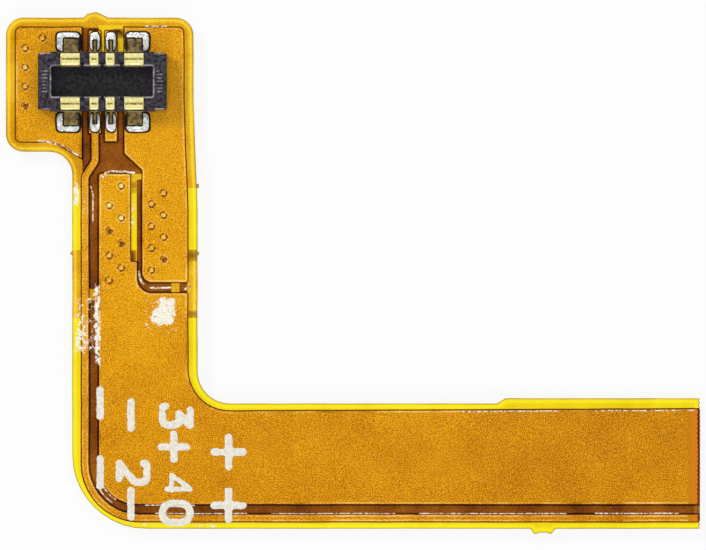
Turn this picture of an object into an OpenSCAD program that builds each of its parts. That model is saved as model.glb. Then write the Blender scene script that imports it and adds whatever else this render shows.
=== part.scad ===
// Flexible circuit lead of a battery pack: an L of laminated polyimide film with copper on both
// sides, a low board plug on its stiffened head, and a tail that ends in a straight cut.
// Millimetres. The origin is under the plug's centre, on the underside of the stiffeners.
// X runs along the tail, Y up the arm towards the head, and Z out of the plug's mouth.

/* [Film outline] */
// Overall length, from the head's left edge to the cut end of the tail
film_l = 17.36; // [12:0.02:30]
// Overall height, from the head's top edge to the tail's lower edge
film_h = 12.78; // [11:0.02:20]
// Width of the head
head_w = 4.69; // [4.6:0.01:5.4]
// Height of the head
head_h = 3.35; // [3.3:0.01:3.6]
// Plug centre to the head's left edge
plug_from_left = 2.43; // [2.35:0.01:2.8]
// Plug centre to the head's top edge
plug_from_top = 1.61; // [1.55:0.01:2]
// Step in from the head's left edge to the arm's left edge
arm_in = 1.66; // [1.5:0.01:1.8]
// Width of the arm
arm_w = 3.13; // [3:0.01:3.6]
// Depth at which the head's right edge starts to widen into the arm, below the plug centre
flare_start = 0.45; // [0.2:0.05:1]
// Depth at which the arm has its full width, below the plug centre
flare_end = 3.1; // [2:0.05:4]
// Width of the tail at the corner
tail_w = 3.13; // [2.8:0.01:4]
// Extra width of the tail past its step
tail_step = 0.13; // [0.02:0.01:0.3]
// Arm's right edge to the start of that step
tail_step_from = 7.5; // [2:0.1:10]
// Length over which the tail widens
tail_step_l = 0.2; // [0.05:0.05:1]
// How far the coppers' upper edge rises along the tail
tail_copper_rise = 0.06; // [0:0.01:0.12]
// Radius of the head's outer corners
head_r = 0.44; // [0.1:0.01:0.8]
// Radius of the fillet between head and arm
neck_r = 0.58; // [0.2:0.01:0.8]
// Radius of the inner corner between arm and tail
inner_r = 0.8; // [0.3:0.01:1.5]
// Radius of the outer corner between arm and tail
outer_r = 1.85; // [1.7:0.01:2.2]
// Width of a break-off tab where the film was held in its panel
tab_w = 0.62; // [0.3:0.01:1]
// Height of a break-off tab
tab_rise = 0.14; // [0.05:0.01:0.3]
// Head tab's centre, left of the plug centre
head_tab_x = 0.18; // [0:0.01:0.6]
// Tail tab's centre, from the arm's right edge
tail_tab_x = 8.64; // [3:0.01:9]

/* [Layers] */
// Thickness of a stiffener
stiffener_t = 0.2; // [0.05:0.01:0.5]
// Thickness of the sheet that bonds a stiffener
bond_t = 0.03; // [0.02:0.005:0.1]
// Thickness of a cover film
cover_t = 0.04; // [0.03:0.005:0.1]
// Thickness of the copper
copper_t = 0.035; // [0.018:0.001:0.07]
// Thickness of the base film
base_t = 0.03; // [0.012:0.001:0.06]
// How far the top cover film sinks where there is no copper under it
sink = 0.02; // [0.005:0.001:0.025]
// How far the cover film stays level past a copper edge
drape = 0.035; // [0.01:0.005:0.05]
// Thickness of the print
print_t = 0.015; // [0.01:0.005:0.04]

/* [Stiffeners] */
// Bottom of the head stiffener, below the plug centre
head_stiffener_end = 2.65; // [2.3:0.05:3.5]
// Top of the arm stiffener, below the plug centre
arm_stiffener_start = 4.2; // [3.8:0.05:5]
// Length of the arm stiffener along the arm
arm_stiffener_l = 1.7; // [0.8:0.05:2.5]
// Margin from the film's edge to a stiffener's edge
stiffener_margin = 0.02; // [0.01:0.01:0.2]

/* [Copper] */
// Film edge to copper in the head and the arm
edge_gap = 0.25; // [0.2:0.01:0.4]
// Film edge to copper in the tail
tail_gap = 0.2; // [0.15:0.01:0.4]
// Right edge of the head plane and left edge of the positive plane, from the plug centre
pole_x = 0.54; // [0.5:0.01:0.55]
// Depth of the head plane's lower tip, below the head's bottom edge
tip_drop = 0.16; // [0.05:0.01:0.3]
// Left edge of the positive plane in the arm, from the plug centre
split_x = 0.985; // [0.9:0.005:1.1]
// Depth at which the positive plane starts to step right, below the plug centre
split_start = 1.78; // [1.6:0.01:1.9]
// Depth at which the positive plane has stepped right, below the plug centre
split_end = 2.2; // [2.1:0.01:2.25]
// Gap between the positive plane and the main plane beside it
side_gap = 0.14; // [0.1:0.01:0.2]
// Gap between the positive plane and the main plane under it
shelf_gap = 0.28; // [0.1:0.01:0.4]
// Bottom of the positive plane, below the plug centre
positive_end = 5; // [4.9:0.01:5.4]
// Corner radius of the positive plane
positive_r = 0.24; // [0.05:0.01:0.4]
// Top of the main plane, below the plug centre
main_start = 2.3; // [2.25:0.01:2.4]
// Width of the slot beside the main plane's upper part
slot_w = 0.165; // [0.1:0.005:0.25]
// Bottom of that slot, below the plug centre
slot_end = 4.5; // [3.5:0.01:4.8]
// Outer corner radius of the main plane
main_r = 0.93; // [0.3:0.01:1.2]
// Width of the sense track
sense_w = 0.165; // [0.1:0.005:0.25]
// Gap between the sense track and the main plane
sense_gap = 0.27; // [0.15:0.005:0.3]
// Radius of the sense track's centre line round the corner
sense_r = 1.36; // [0.8:0.01:1.6]
// Depth at which the sense track leaves its pad's line, below the plug centre
sense_start = 1.98; // [1.7:0.01:2.1]
// Depth at which the sense track reaches the arm's edge, below the plug centre
sense_end = 2.36; // [2.3:0.01:2.6]
// Gap between the two back coppers along the arm
back_gap = 0.28; // [0.1:0.01:0.3]
// Bottom of the back negative link, below the plug centre
back_link_end = 5.18; // [5:0.01:5.3]
// Width of the slit in the back positive plane
slit_w = 0.2; // [0.1:0.01:0.3]
// Length of that slit
slit_l = 0.6; // [0.3:0.01:0.8]
// Slit's centre, left of the arm's right edge
slit_from_right = 0.55; // [0.45:0.01:0.7]

/* [Plated holes] */
// Drilled diameter of a plated hole
drill_d = 0.2; // [0.15:0.01:0.24]
// Thickness of the plating in the hole
plating_t = 0.025; // [0.01:0.005:0.05]
// Head column: distance from the copper's left edge
head_via_in = 0.23; // [0.15:0.01:0.3]
// Head column: height of its top hole above the plug centre
head_via_top = 0.85; // [0.7:0.01:0.9]
// Head column: pitch
head_via_pitch = 0.48; // [0.3:0.01:0.5]
// Odd hole of the head: distance right of the column
odd_via_right = 0.43; // [0.3:0.01:0.45]
// Odd hole of the head: distance above the column's top hole
odd_via_up = 0.25; // [0.1:0.01:0.3]
// Arm groups: zigzag from hole to hole across the arm
zigzag = 0.3; // [0.2:0.01:0.34]
// Negative group: centre, right of the main plane's left edge
negative_via_x = 0.4; // [0.35:0.01:0.45]
// Negative group: top hole, below the main plane's top edge
negative_via_drop = 0.3; // [0.2:0.01:0.35]
// Negative group: pitch
negative_via_pitch = 0.312; // [0.25:0.002:0.33]
// Negative group: extra room after its top hole
negative_via_skip = 0.175; // [0:0.005:0.2]
// Positive group: share of the positive plane's spare width that lies left of it
positive_via_share = 0.1826; // [0.1:0.01:0.5]
// Positive group: top hole, below the main plane's top edge
positive_via_drop = 0.48; // [0.3:0.01:0.5]
// Positive group: pitch
positive_via_pitch = 0.275; // [0.22:0.005:0.3]

/* [Pads and solder] */
// Power pad centre, from the plug centre
power_pad_x = 0.87; // [0.86:0.005:0.88]
// Width of a power pad's opening
power_pad_w = 0.62; // [0.5:0.01:0.64]
// Width of a signal pad's opening
signal_pad_w = 0.25; // [0.22:0.01:0.27]
// Length of every pad's opening
pad_l = 0.5; // [0.4:0.01:0.52]
// Housing wall to the pad's opening
pad_clear = 0.02; // [0.01:0.01:0.05]
// Copper past a signal pad's opening on each side
pad_land = 0.02; // [0.01:0.005:0.03]
// Length of the stub that leaves the lower right signal pad
stub_l = 0.2; // [0.05:0.01:0.3]
// Height of the solder above the cover film
solder_rise = 0.07; // [0.03:0.01:0.1]
// How far the solder draws in towards its top
solder_draw = 0.05; // [0.02:0.01:0.08]

/* [Plug] */
// Length of the housing
plug_l = 3.2; // [3.1:0.01:3.4]
// Width of the housing
plug_w = 1.48; // [1.44:0.01:1.5]
// Height of the housing
plug_h = 0.55; // [0.45:0.01:0.9]
// Thickness of the long walls
plug_wall = 0.365; // [0.3:0.005:0.42]
// Thickness of the end blocks
plug_end = 0.34; // [0.2:0.01:0.4]
// Depth of the trough
trough_depth = 0.35; // [0.2:0.01:0.38]
// Corner radius of the housing
plug_r = 0.05; // [0.02:0.01:0.1]
// Corner radius of the trough
trough_r = 0.04; // [0.02:0.01:0.1]
// Step round the housing's outer top edge
lead_in = 0.03; // [0.01:0.01:0.06]
// Power contact centre, from the plug centre
power_x = 0.795; // [0.78:0.005:0.82]
// Width of a power contact
power_w = 0.48; // [0.4:0.01:0.52]
// Width of a power contact's foot
power_foot_w = 0.36; // [0.25:0.01:0.38]
// Signal contact centre, from the plug centre
signal_x = 0.2; // [0.19:0.005:0.21]
// Width of a signal contact
signal_w = 0.22; // [0.16:0.01:0.24]
// Width of a signal contact's foot
signal_foot_w = 0.14; // [0.1:0.01:0.18]
// Thickness of the contact strip
strip_t = 0.08; // [0.06:0.005:0.09]
// Bend radius at the middle of the strip
bend_r = 0.07; // [0.05:0.005:0.08]
// How far a contact's cap stands above the wall
cap_proud = 0.02; // [0.01:0.005:0.04]
// How far a foot reaches out past the wall
foot_l = 0.335; // [0.2:0.005:0.38]
// How far a contact reaches down inside the trough
blade_l = 0.28; // [0.15:0.01:0.3]
// Depth of the groove in a cap
groove_depth = 0.02; // [0.005:0.005:0.03]
// Width of the groove in a cap
groove_w = 0.06; // [0.03:0.01:0.1]
// Wall left at each end of the groove
groove_land = 0.04; // [0.02:0.01:0.06]

/* [Print] */
// Width of a printed stroke
stroke_w = 0.18; // [0.1:0.01:0.2]
// Height of a figure
figure_h = 0.88; // [0.7:0.01:0.9]
// Width of a figure
figure_w = 0.66; // [0.5:0.01:0.7]
// Length of a minus mark
minus_l = 0.8; // [0.5:0.01:0.84]
// Span of the small plus mark
small_plus = 0.76; // [0.5:0.01:0.8]
// Span of a large plus mark
large_plus = 0.86; // [0.6:0.01:0.9]
// First column of marks, right of the arm's left edge
column_1 = 0.7; // [0.68:0.01:0.72]
// Second column
column_2 = 1.47; // [1.4:0.01:1.5]
// Third column
column_3 = 2.6; // [2.55:0.01:2.65]
// Fourth column
column_4 = 3.91; // [3.8:0.01:4.2]
// First column: height of the upper minus above the tail's lower edge
minus_y_1 = 3.14; // [3:0.01:3.3]
// First column: lower minus
minus_y_2 = 1.41; // [1.3:0.01:1.5]
// Second column: upper minus
minus_y_3 = 2.85; // [2.6:0.01:3]
// Second column: lower minus
minus_y_4 = 0.63; // [0.6:0.01:0.65]
// Second column: figure two
two_y = 1.4; // [1.39:0.005:1.45]
// How far the figure two stands right of its column
two_right = 0.05; // [0:0.01:0.1]
// Third column: figure three
three_y = 2.83; // [2.8:0.01:3]
// Third column: figure four
four_y = 1.11; // [1.1:0.005:1.2]
// Third column: figure zero
zero_y = 0.395; // [0.36:0.005:0.41]
// Third column: small plus
small_plus_y = 2.05; // [1.9:0.01:2.08]
// How far the small plus stands left of its column
small_plus_left = 0.06; // [0:0.01:0.1]
// Fourth column: upper plus
large_plus_y_1 = 1.92; // [1.8:0.01:2.2]
// Fourth column: lower plus
large_plus_y_2 = 0.59; // [0.58:0.01:0.65]

/* [Hidden] */
ARC_STEP = 9;
SINGLE = 0.01;

film_left = -plug_from_left;
film_top = plug_from_top;
head_right = film_left + head_w;
head_bottom = film_top - head_h;
arm_left = film_left + arm_in;
arm_right = arm_left + arm_w;
tail_bottom = film_top - film_h;
tail_top = tail_bottom + tail_w;
tail_end = film_left + film_l;
step_x = arm_right + tail_step_from;

bond_z = stiffener_t;
bottom_cover_z = bond_z + bond_t;
back_z = bottom_cover_z + cover_t;
base_z = back_z + copper_t;
front_z = base_z + base_t;
cover_z = front_z + copper_t;
top_z = cover_z + cover_t;

main_left = arm_left + edge_gap - 0.01 + sense_w + sense_gap;
sense_x = arm_left + edge_gap - 0.01 + sense_w / 2;
sense_y = tail_bottom + tail_gap - 0.015 + sense_w / 2;
main_bottom = sense_y + sense_w / 2 + sense_gap;
main_right = split_x - side_gap;
slot_left = main_right - slot_w;
shelf_y = -positive_end - shelf_gap;

wall_y = plug_w / 2;
trough_y = wall_y - plug_wall;
pad_y = wall_y + pad_clear;
wall_top = top_z + plug_h;

via_count = 8;
head_via_count = 4;
column_x = film_left + edge_gap + head_via_in;
head_vias_at = concat(
    [for (i = [0 : head_via_count - 1]) [column_x, head_via_top - i * head_via_pitch]],
    [[column_x + odd_via_right, head_via_top + odd_via_up]]
);
negative_vias_at = [for (i = [0 : via_count - 1]) [
    main_left + negative_via_x + (i % 2 == 0 ? 1 : -1) * zigzag / 2,
    -main_start - negative_via_drop - i * negative_via_pitch - (i > 0 ? negative_via_skip : 0)
]];
via_group_w = zigzag + drill_d + 2 * plating_t;
positive_spare = arm_right - edge_gap - split_x - via_group_w;
positive_via_x = split_x + via_group_w / 2 + positive_via_share * positive_spare;
positive_vias_at = [for (i = [0 : via_count - 1]) [
    positive_via_x + (i % 2 == 0 ? 1 : -1) * zigzag / 2,
    -main_start - positive_via_drop - i * positive_via_pitch
]];

// Paths. A path is a list of [x, y, corner radius], walked anticlockwise when it is closed.
function flat(p) = [p[0], p[1]];
function unit(v) = v / norm(v);
function heading(a, b) = unit(flat(b) - flat(a));
function right_of(v) = [v[1], -v[0]];
function turn(u, w) = u[0] * w[1] - u[1] * w[0];

// The arc that rounds corner b between its neighbours a and c
function corner(a, b, c) =
    let(
        u = heading(b, a),
        w = heading(b, c),
        half = acos(max(-1, min(1, u * w))) / 2,
        room = 0.49 * min(norm(flat(a) - flat(b)), norm(flat(c) - flat(b))),
        reach = min(b[2] / tan(half), room),
        r = reach * tan(half)
    )
    r < 0.001 ? [flat(b)] :
    let(
        centre = flat(b) + unit(u + w) * r / sin(half),
        from = flat(b) + u * reach - centre,
        start = atan2(from[1], from[0]),
        sweep = (180 - 2 * half) * (turn(-u, w) > 0 ? 1 : -1),
        steps = max(2, ceil(abs(sweep) / ARC_STEP))
    )
    [for (i = [0 : steps]) centre + r * [cos(start + sweep * i / steps), sin(start + sweep * i / steps)]];

function rounded(path) =
    let(n = len(path))
    [for (i = [0 : n - 1]) each corner(path[(i + n - 1) % n], path[i], path[(i + 1) % n])];

// Corner b moved to the right by d, with its radius grown or shrunk to match
function moved(a, b, c, d) =
    let(
        u = heading(a, b),
        w = heading(b, c),
        shift = (right_of(u) + right_of(w)) * d / (1 + u * w),
        r = b[2] < 0.001 ? 0 : max(0, b[2] + d * (turn(u, w) > 0 ? 1 : -1))
    )
    [b[0] + shift[0], b[1] + shift[1], r];

// A closed path with every edge moved outwards by d
function grown(path, d) =
    let(n = len(path))
    [for (i = [0 : n - 1]) moved(path[(i + n - 1) % n], path[i], path[(i + 1) % n], d)];

function end_shift(p, way, d, r) = [p[0] + right_of(way)[0] * d, p[1] + right_of(way)[1] * d, r];

// One side of an open centre line, at d to its right
function side(line, d, r) =
    let(n = len(line))
    [for (i = [0 : n - 1])
        i == 0 ? end_shift(line[0], heading(line[0], line[1]), d, r) :
        i == n - 1 ? end_shift(line[i], heading(line[i - 1], line[i]), d, r) :
        moved(line[i - 1], line[i], line[i + 1], d)];

function reversed(list) = [for (i = [len(list) - 1 : -1 : 0]) list[i]];

// The closed path of a stroke of width w along an open centre line, with ends rounded by end_r
function stroke(line, w, end_r = 0) =
    concat(side(line, w / 2, end_r), reversed(side(line, -w / 2, end_r)));

function box_path(x, y, w, h, r = 0) =
    [[x - w / 2, y - h / 2, r], [x + w / 2, y - h / 2, r], [x + w / 2, y + h / 2, r], [x - w / 2, y + h / 2, r]];

// The film's outline, with its two break-off tabs or without them
function tab(x, y, way) = [
    [x + way * tab_w / 2, y, tab_rise / 2],
    [x + way * (tab_w / 2 - tab_rise / 2), y - way * tab_rise, tab_rise / 2],
    [x - way * (tab_w / 2 - tab_rise), y - way * tab_rise, tab_rise / 2],
    [x - way * tab_w / 2, y, tab_rise / 2]
];

function film_path(tabs) = concat(
    [
        [film_left, head_bottom, head_r],
        [arm_left, head_bottom, neck_r],
        [arm_left, tail_bottom, outer_r]
    ],
    tabs ? reversed(tab(arm_right + tail_tab_x, tail_bottom, 1)) : [],
    [
        [tail_end, tail_bottom, 0],
        [tail_end, tail_top + tail_step, 0],
        [step_x + tail_step_l, tail_top + tail_step, tail_step],
        [step_x, tail_top, tail_step],
        [arm_right, tail_top, inner_r],
        [arm_right, -flare_end, inner_r],
        [head_right, -flare_start, inner_r],
        [head_right, film_top, head_r]
    ],
    tabs ? reversed(tab(-head_tab_x, film_top, -1)) : [],
    [[film_left, film_top, head_r]]
);

// Front copper
net_r = 0.05;
head_net_r = 0.12;

function head_net() = [
    [film_left + edge_gap, head_bottom + edge_gap, head_net_r],
    [arm_left - neck_r + head_net_r, head_bottom + edge_gap, neck_r],
    [-pole_x, head_bottom - tip_drop, 0],
    [-pole_x, film_top - edge_gap, 0],
    [film_left + edge_gap, film_top - edge_gap, head_net_r]
];

function positive_net() = [
    [pole_x, -split_start, 0],
    [split_x, -split_end, net_r],
    [split_x, -positive_end, positive_r],
    [arm_right - edge_gap, -positive_end, net_r],
    [arm_right - edge_gap, -flare_end, inner_r],
    [head_right - edge_gap, -flare_start, inner_r],
    [head_right - edge_gap, film_top - edge_gap, head_net_r],
    [pole_x, film_top - edge_gap, 0]
];

function main_net() = [
    [main_left, -main_start, net_r],
    [main_left, main_bottom, main_r],
    [tail_end, main_bottom, 0],
    [tail_end, tail_top - tail_gap + tail_copper_rise, 0],
    [arm_right - edge_gap, tail_top - tail_gap, inner_r + edge_gap],
    [arm_right - edge_gap, shelf_y, net_r],
    [main_right, shelf_y, positive_r + side_gap],
    [main_right, -slot_end, net_r],
    [slot_left, -slot_end, net_r],
    [slot_left, -main_start, net_r]
];

function sense_net() = stroke([
    [-signal_x, -pad_y, 0],
    [-signal_x, -sense_start, sense_w],
    [sense_x, -sense_end, sense_w],
    [sense_x, sense_y, sense_r],
    [tail_end, sense_y, 0]
], sense_w);

// The land round a signal pad's opening: side is 1 right or -1 left, row is 1 upper or -1 lower
function land_path(side, row, extra = 0) = box_path(
    side * signal_x, row * (pad_y + (pad_l + extra) / 2),
    signal_pad_w + 2 * pad_land, pad_l + extra + 2 * pad_land, pad_land
);

function front_nets() = [
    head_net(), positive_net(), main_net(), sense_net(),
    land_path(-1, 1), land_path(1, 1), land_path(1, -1, stub_l), land_path(-1, -1)
];

// Back copper
function back_negative_net() = [
    [film_left + edge_gap, head_bottom + edge_gap, head_net_r],
    [arm_left - neck_r + head_net_r, head_bottom + edge_gap, neck_r],
    [arm_left + edge_gap, head_bottom - tip_drop, 0],
    [arm_left + edge_gap, -back_link_end, net_r],
    [slot_left, -back_link_end, net_r],
    [slot_left, -main_start, 0],
    [split_x, -main_start, 0],
    [split_x, -wall_y / 4, net_r],
    [-signal_x / 2, wall_y / 4, net_r],
    [-signal_x / 2, film_top - edge_gap, 0],
    [film_left + edge_gap, film_top - edge_gap, head_net_r]
];

function back_positive_net() = [
    [main_right, -main_start - side_gap, 0],
    [main_right, -back_link_end - back_gap, 0],
    [arm_left + edge_gap, -back_link_end - back_gap, net_r],
    [arm_left + edge_gap, tail_bottom + tail_gap, outer_r - edge_gap],
    [tail_end, tail_bottom + tail_gap, 0],
    [tail_end, tail_top - tail_gap + tail_copper_rise, 0],
    [arm_right - edge_gap, tail_top - tail_gap, inner_r + edge_gap],
    [arm_right - edge_gap, -main_start - side_gap, net_r]
];

slit_path = box_path(arm_right - slit_from_right, -positive_end - shelf_gap / 2, slit_w, slit_l);

// Flat shapes
module shape(path) {
    polygon(rounded(path));
}

module shapes(paths) {
    for (path = paths) shape(path);
}

module slab(z, t) {
    translate([0, 0, z])
        linear_extrude(t)
            children();
}

module drills(spots) {
    for (spot = spots) {
        translate(spot)
            circle(d = drill_d, $fn = 48);
    }
}

module pad_openings() {
    for (row = [-1, 1], way = [-1, 1]) {
        shape(pad_path(way * power_pad_x, row, power_pad_w));
        shape(pad_path(way * signal_x, row, signal_pad_w));
    }
}

function pad_path(x, row, w, inset = 0) = box_path(
    x, row * (pad_y + pad_l / 2), w - 2 * inset, pad_l - 2 * inset, min(w, pad_l) / 5
);

// Copper, with its plated holes drilled
module front_copper(path, spots = []) {
    color("peru")
        slab(front_z, copper_t)
            difference() {
                shape(path);
                drills(spots);
            }
}

module head_copper() front_copper(head_net(), head_vias_at);
module positive_copper() front_copper(positive_net(), positive_vias_at);
module main_copper() front_copper(main_net(), negative_vias_at);
module signal_pad_1() front_copper(land_path(-1, 1));
module signal_pad_2() front_copper(land_path(1, 1));
module signal_pad_3() front_copper(land_path(1, -1, stub_l));

module sense_copper() {
    color("peru")
        slab(front_z, copper_t)
            union() {
                shape(sense_net());
                shape(land_path(-1, -1));
            }
}

module back_negative_copper() {
    color("sienna")
        slab(back_z, copper_t)
            difference() {
                shape(back_negative_net());
                drills(concat(head_vias_at, negative_vias_at));
            }
}

module back_positive_copper() {
    color("sienna")
        slab(back_z, copper_t)
            difference() {
                shape(back_positive_net());
                shape(slit_path);
                drills(positive_vias_at);
            }
}

// Plated holes: open copper tubes from one side's copper through the base film to the other's
module plated_holes(spots) {
    color("darkgoldenrod")
        for (spot = spots) {
            translate([spot[0], spot[1], back_z])
                difference() {
                    cylinder(h = cover_z - back_z, d = drill_d, $fn = 48);
                    translate([0, 0, -SINGLE])
                        cylinder(h = cover_z - back_z + 2 * SINGLE, d = drill_d - 2 * plating_t, $fn = 48);
                }
        }
}

module head_vias() plated_holes(head_vias_at);
module negative_vias() plated_holes(negative_vias_at);
module positive_vias() plated_holes(positive_vias_at);

// Films
module base_film() {
    color("orange")
        slab(base_z, base_t)
            difference() {
                shape(film_path(true));
                drills(concat(head_vias_at, negative_vias_at, positive_vias_at));
            }
}

// The cover film's level ground over the copper, where the print and the plug lie
module plateau() {
    intersection() {
        union() {
            for (path = front_nets()) shape(grown(path, drape));
        }
        shape(film_path(false));
    }
}

// The top cover film fills the room between the coppers with its adhesive and lies over them
module top_cover_film() {
    color("goldenrod") {
        slab(front_z, copper_t)
            difference() {
                shape(film_path(true));
                shapes(front_nets());
                drills(concat(head_vias_at, negative_vias_at, positive_vias_at));
            }
        slab(cover_z, cover_t - sink)
            difference() {
                shape(film_path(true));
                pad_openings();
            }
        slab(top_z - sink, sink)
            difference() {
                plateau();
                pad_openings();
            }
    }
}

module bottom_cover_film() {
    color("goldenrod") {
        slab(bottom_cover_z, cover_t)
            shape(film_path(true));
        slab(back_z, copper_t)
            difference() {
                shape(film_path(true));
                shape(back_negative_net());
                difference() {
                    shape(back_positive_net());
                    shape(slit_path);
                }
            }
    }
}

// Stiffeners, cut to the film's outline less a margin
module strip_of_film(top, bottom) {
    intersection() {
        shape(grown(film_path(false), -stiffener_margin));
        translate([film_left, bottom])
            square([head_w + arm_w, top - bottom]);
    }
}

module head_strip() strip_of_film(film_top, -head_stiffener_end);
module arm_strip() strip_of_film(-arm_stiffener_start, -arm_stiffener_start - arm_stiffener_l);

module head_stiffener() {
    color("darkorange")
        slab(0, stiffener_t) head_strip();
}

module head_bond() {
    color("khaki")
        slab(bond_z, bond_t) head_strip();
}

module arm_stiffener() {
    color("darkorange")
        slab(0, stiffener_t) arm_strip();
}

module arm_bond() {
    color("khaki")
        slab(bond_z, bond_t) arm_strip();
}

// Contacts. A strip wraps over the long wall: a foot outside, a cap on top, a blade in the trough.
strip_out = wall_y - strip_t / 2;
strip_in = trough_y + strip_t / 2;
strip_low = top_z + strip_t / 2;
strip_high = wall_top + cap_proud - strip_t / 2;
blade_low = wall_top - blade_l;

function wrap_path() = stroke([
    [strip_out, top_z, 0],
    [strip_out, strip_high, bend_r],
    [strip_in, strip_high, bend_r],
    [strip_in, blade_low, 0]
], strip_t);

function foot_path() = stroke([
    [strip_out, strip_low + 2 * bend_r, 0],
    [strip_out, strip_low, bend_r],
    [wall_y + foot_l, strip_low, 0]
], strip_t);

// A section drawn in Y and Z, run along X for width w about x, on the upper row or the lower one
module across(x, w, row) {
    translate([x, 0, 0])
        mirror([0, row < 0 ? 1 : 0, 0])
            rotate([90, 0, 90])
                translate([0, 0, -w / 2])
                    linear_extrude(w)
                        children();
}

module contact_body(x, row, w, foot_w) {
    across(x, w, row) shape(wrap_path());
    across(x, foot_w, row) shape(foot_path());
}

module contact(x, row, w, foot_w) {
    color("gold")
        difference() {
            contact_body(x, row, w, foot_w);
            translate([
                x - w / 2 + groove_land,
                row * (strip_in + strip_out) / 2 - groove_w / 2,
                wall_top + cap_proud - groove_depth
            ])
                cube([w - 2 * groove_land, groove_w, 2 * groove_depth]);
        }
}

module power_contact(way, row) contact(way * power_x, row, power_w, power_foot_w);
module signal_contact(way, row) contact(way * signal_x, row, signal_w, signal_foot_w);

module power_contact_1() power_contact(-1, 1);
module power_contact_2() power_contact(1, 1);
module power_contact_3() power_contact(-1, -1);
module power_contact_4() power_contact(1, -1);
module signal_contact_1() signal_contact(-1, 1);
module signal_contact_2() signal_contact(1, 1);
module signal_contact_3() signal_contact(-1, -1);
module signal_contact_4() signal_contact(1, -1);

// The plug's housing, moulded round the contacts
module plug_housing() {
    color("dimgray")
        difference() {
            union() {
                slab(top_z, plug_h - lead_in)
                    shape(box_path(0, 0, plug_l, plug_w, plug_r));
                slab(wall_top - lead_in, lead_in)
                    shape(box_path(0, 0, plug_l - 2 * lead_in, plug_w - 2 * lead_in, plug_r));
            }
            slab(wall_top - trough_depth, trough_depth + SINGLE)
                shape(box_path(0, 0, plug_l - 2 * plug_end, 2 * trough_y, trough_r));
            for (row = [-1, 1], way = [-1, 1]) {
                contact_body(way * power_x, row, power_w, power_foot_w);
                contact_body(way * signal_x, row, signal_w, signal_foot_w);
            }
        }
}

// Solder: it fills the opening in the cover film, and draws up round the contact's foot
module solder(pad_x, contact_x, row, pad_w, w, foot_w) {
    color("silver")
        difference() {
            union() {
                slab(cover_z, cover_t)
                    shape(pad_path(pad_x, row, pad_w));
                hull() {
                    slab(top_z, SINGLE)
                        shape(pad_path(pad_x, row, pad_w));
                    slab(top_z + solder_rise - SINGLE, SINGLE)
                        shape(pad_path(pad_x, row, pad_w, solder_draw));
                }
            }
            contact_body(contact_x, row, w, foot_w);
        }
}

module power_solder(way, row)
    solder(way * power_pad_x, way * power_x, row, power_pad_w, power_w, power_foot_w);
module signal_solder(way, row)
    solder(way * signal_x, way * signal_x, row, signal_pad_w, signal_w, signal_foot_w);

module power_solder_1() power_solder(-1, 1);
module power_solder_2() power_solder(1, 1);
module power_solder_3() power_solder(-1, -1);
module power_solder_4() power_solder(1, -1);
module signal_solder_1() signal_solder(-1, 1);
module signal_solder_2() signal_solder(1, 1);
module signal_solder_3() signal_solder(-1, -1);
module signal_solder_4() signal_solder(1, -1);

// Print: polarity marks and plain figures. A figure's top points along X.
half_h = (figure_h - stroke_w) / 2;
half_w = (figure_w - stroke_w) / 2;
round_end = 0.48 * stroke_w;
figure_r = half_w * 0.8;

module line(points) {
    shape(stroke(points, stroke_w, round_end));
}

module minus_mark(l) line([[0, -l / 2, 0], [0, l / 2, 0]]);

module plus_mark(l) {
    minus_mark(l);
    line([[-l / 2, 0, 0], [l / 2, 0, 0]]);
}

module figure_two() line([
    [-half_w, half_h / 2, 0],
    [-half_w, half_h, figure_r],
    [half_w, half_h, figure_r],
    [half_w, half_h / 8, figure_r],
    [-half_w, -half_h, 0.01],
    [half_w, -half_h, 0]
]);

module figure_three() line([
    [-half_w, half_h, 0],
    [half_w, half_h, 0.01],
    [-half_w / 5, half_h / 5, 0.01],
    [half_w, half_h / 5, figure_r],
    [half_w, -half_h, figure_r],
    [-half_w, -half_h, figure_r],
    [-half_w, -half_h / 2, 0]
]);

module figure_four() {
    line([
        [half_w, -half_h / 3, 0],
        [-half_w, -half_h / 3, 0.01],
        [half_w / 3, half_h, 0]
    ]);
    line([
        [half_w / 3, half_h, 0],
        [half_w / 3, -half_h, 0]
    ]);
}

module figure_zero() {
    difference() {
        shape(box_path(0, 0, figure_w, figure_h, figure_w / 2));
        shape(box_path(0, 0, figure_w - 2 * stroke_w, figure_h - 2 * stroke_w, figure_w / 2 - stroke_w));
    }
}

// A mark's place is measured from the outer corner, where the arm's left edge meets the tail
module at(x, y) {
    translate([arm_left + x, tail_bottom + y])
        children();
}

module figure_at(x, y) {
    at(x, y)
        rotate(-90)
            children();
}

module marks() {
    at(column_1, minus_y_1) minus_mark(minus_l);
    at(column_1, minus_y_2) minus_mark(minus_l);
    at(column_2, minus_y_3) minus_mark(minus_l);
    at(column_2, minus_y_4) minus_mark(minus_l);
    figure_at(column_2 + two_right, two_y) figure_two();
    figure_at(column_3, three_y) figure_three();
    figure_at(column_3, four_y) figure_four();
    figure_at(column_3, zero_y) figure_zero();
    at(column_3 - small_plus_left, small_plus_y) plus_mark(small_plus);
    at(column_4, large_plus_y_1) plus_mark(large_plus);
    at(column_4, large_plus_y_2) plus_mark(large_plus);
}

module print_marks() {
    color("white")
        slab(top_z, print_t)
            marks();
}

base_film();
top_cover_film();
bottom_cover_film();
head_copper();
positive_copper();
main_copper();
sense_copper();
signal_pad_1();
signal_pad_2();
signal_pad_3();
back_negative_copper();
back_positive_copper();
head_vias();
negative_vias();
positive_vias();
head_stiffener();
head_bond();
arm_stiffener();
arm_bond();
plug_housing();
power_contact_1();
power_contact_2();
power_contact_3();
power_contact_4();
signal_contact_1();
signal_contact_2();
signal_contact_3();
signal_contact_4();
power_solder_1();
power_solder_2();
power_solder_3();
power_solder_4();
signal_solder_1();
signal_solder_2();
signal_solder_3();
signal_solder_4();
print_marks();
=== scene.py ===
import math

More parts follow.
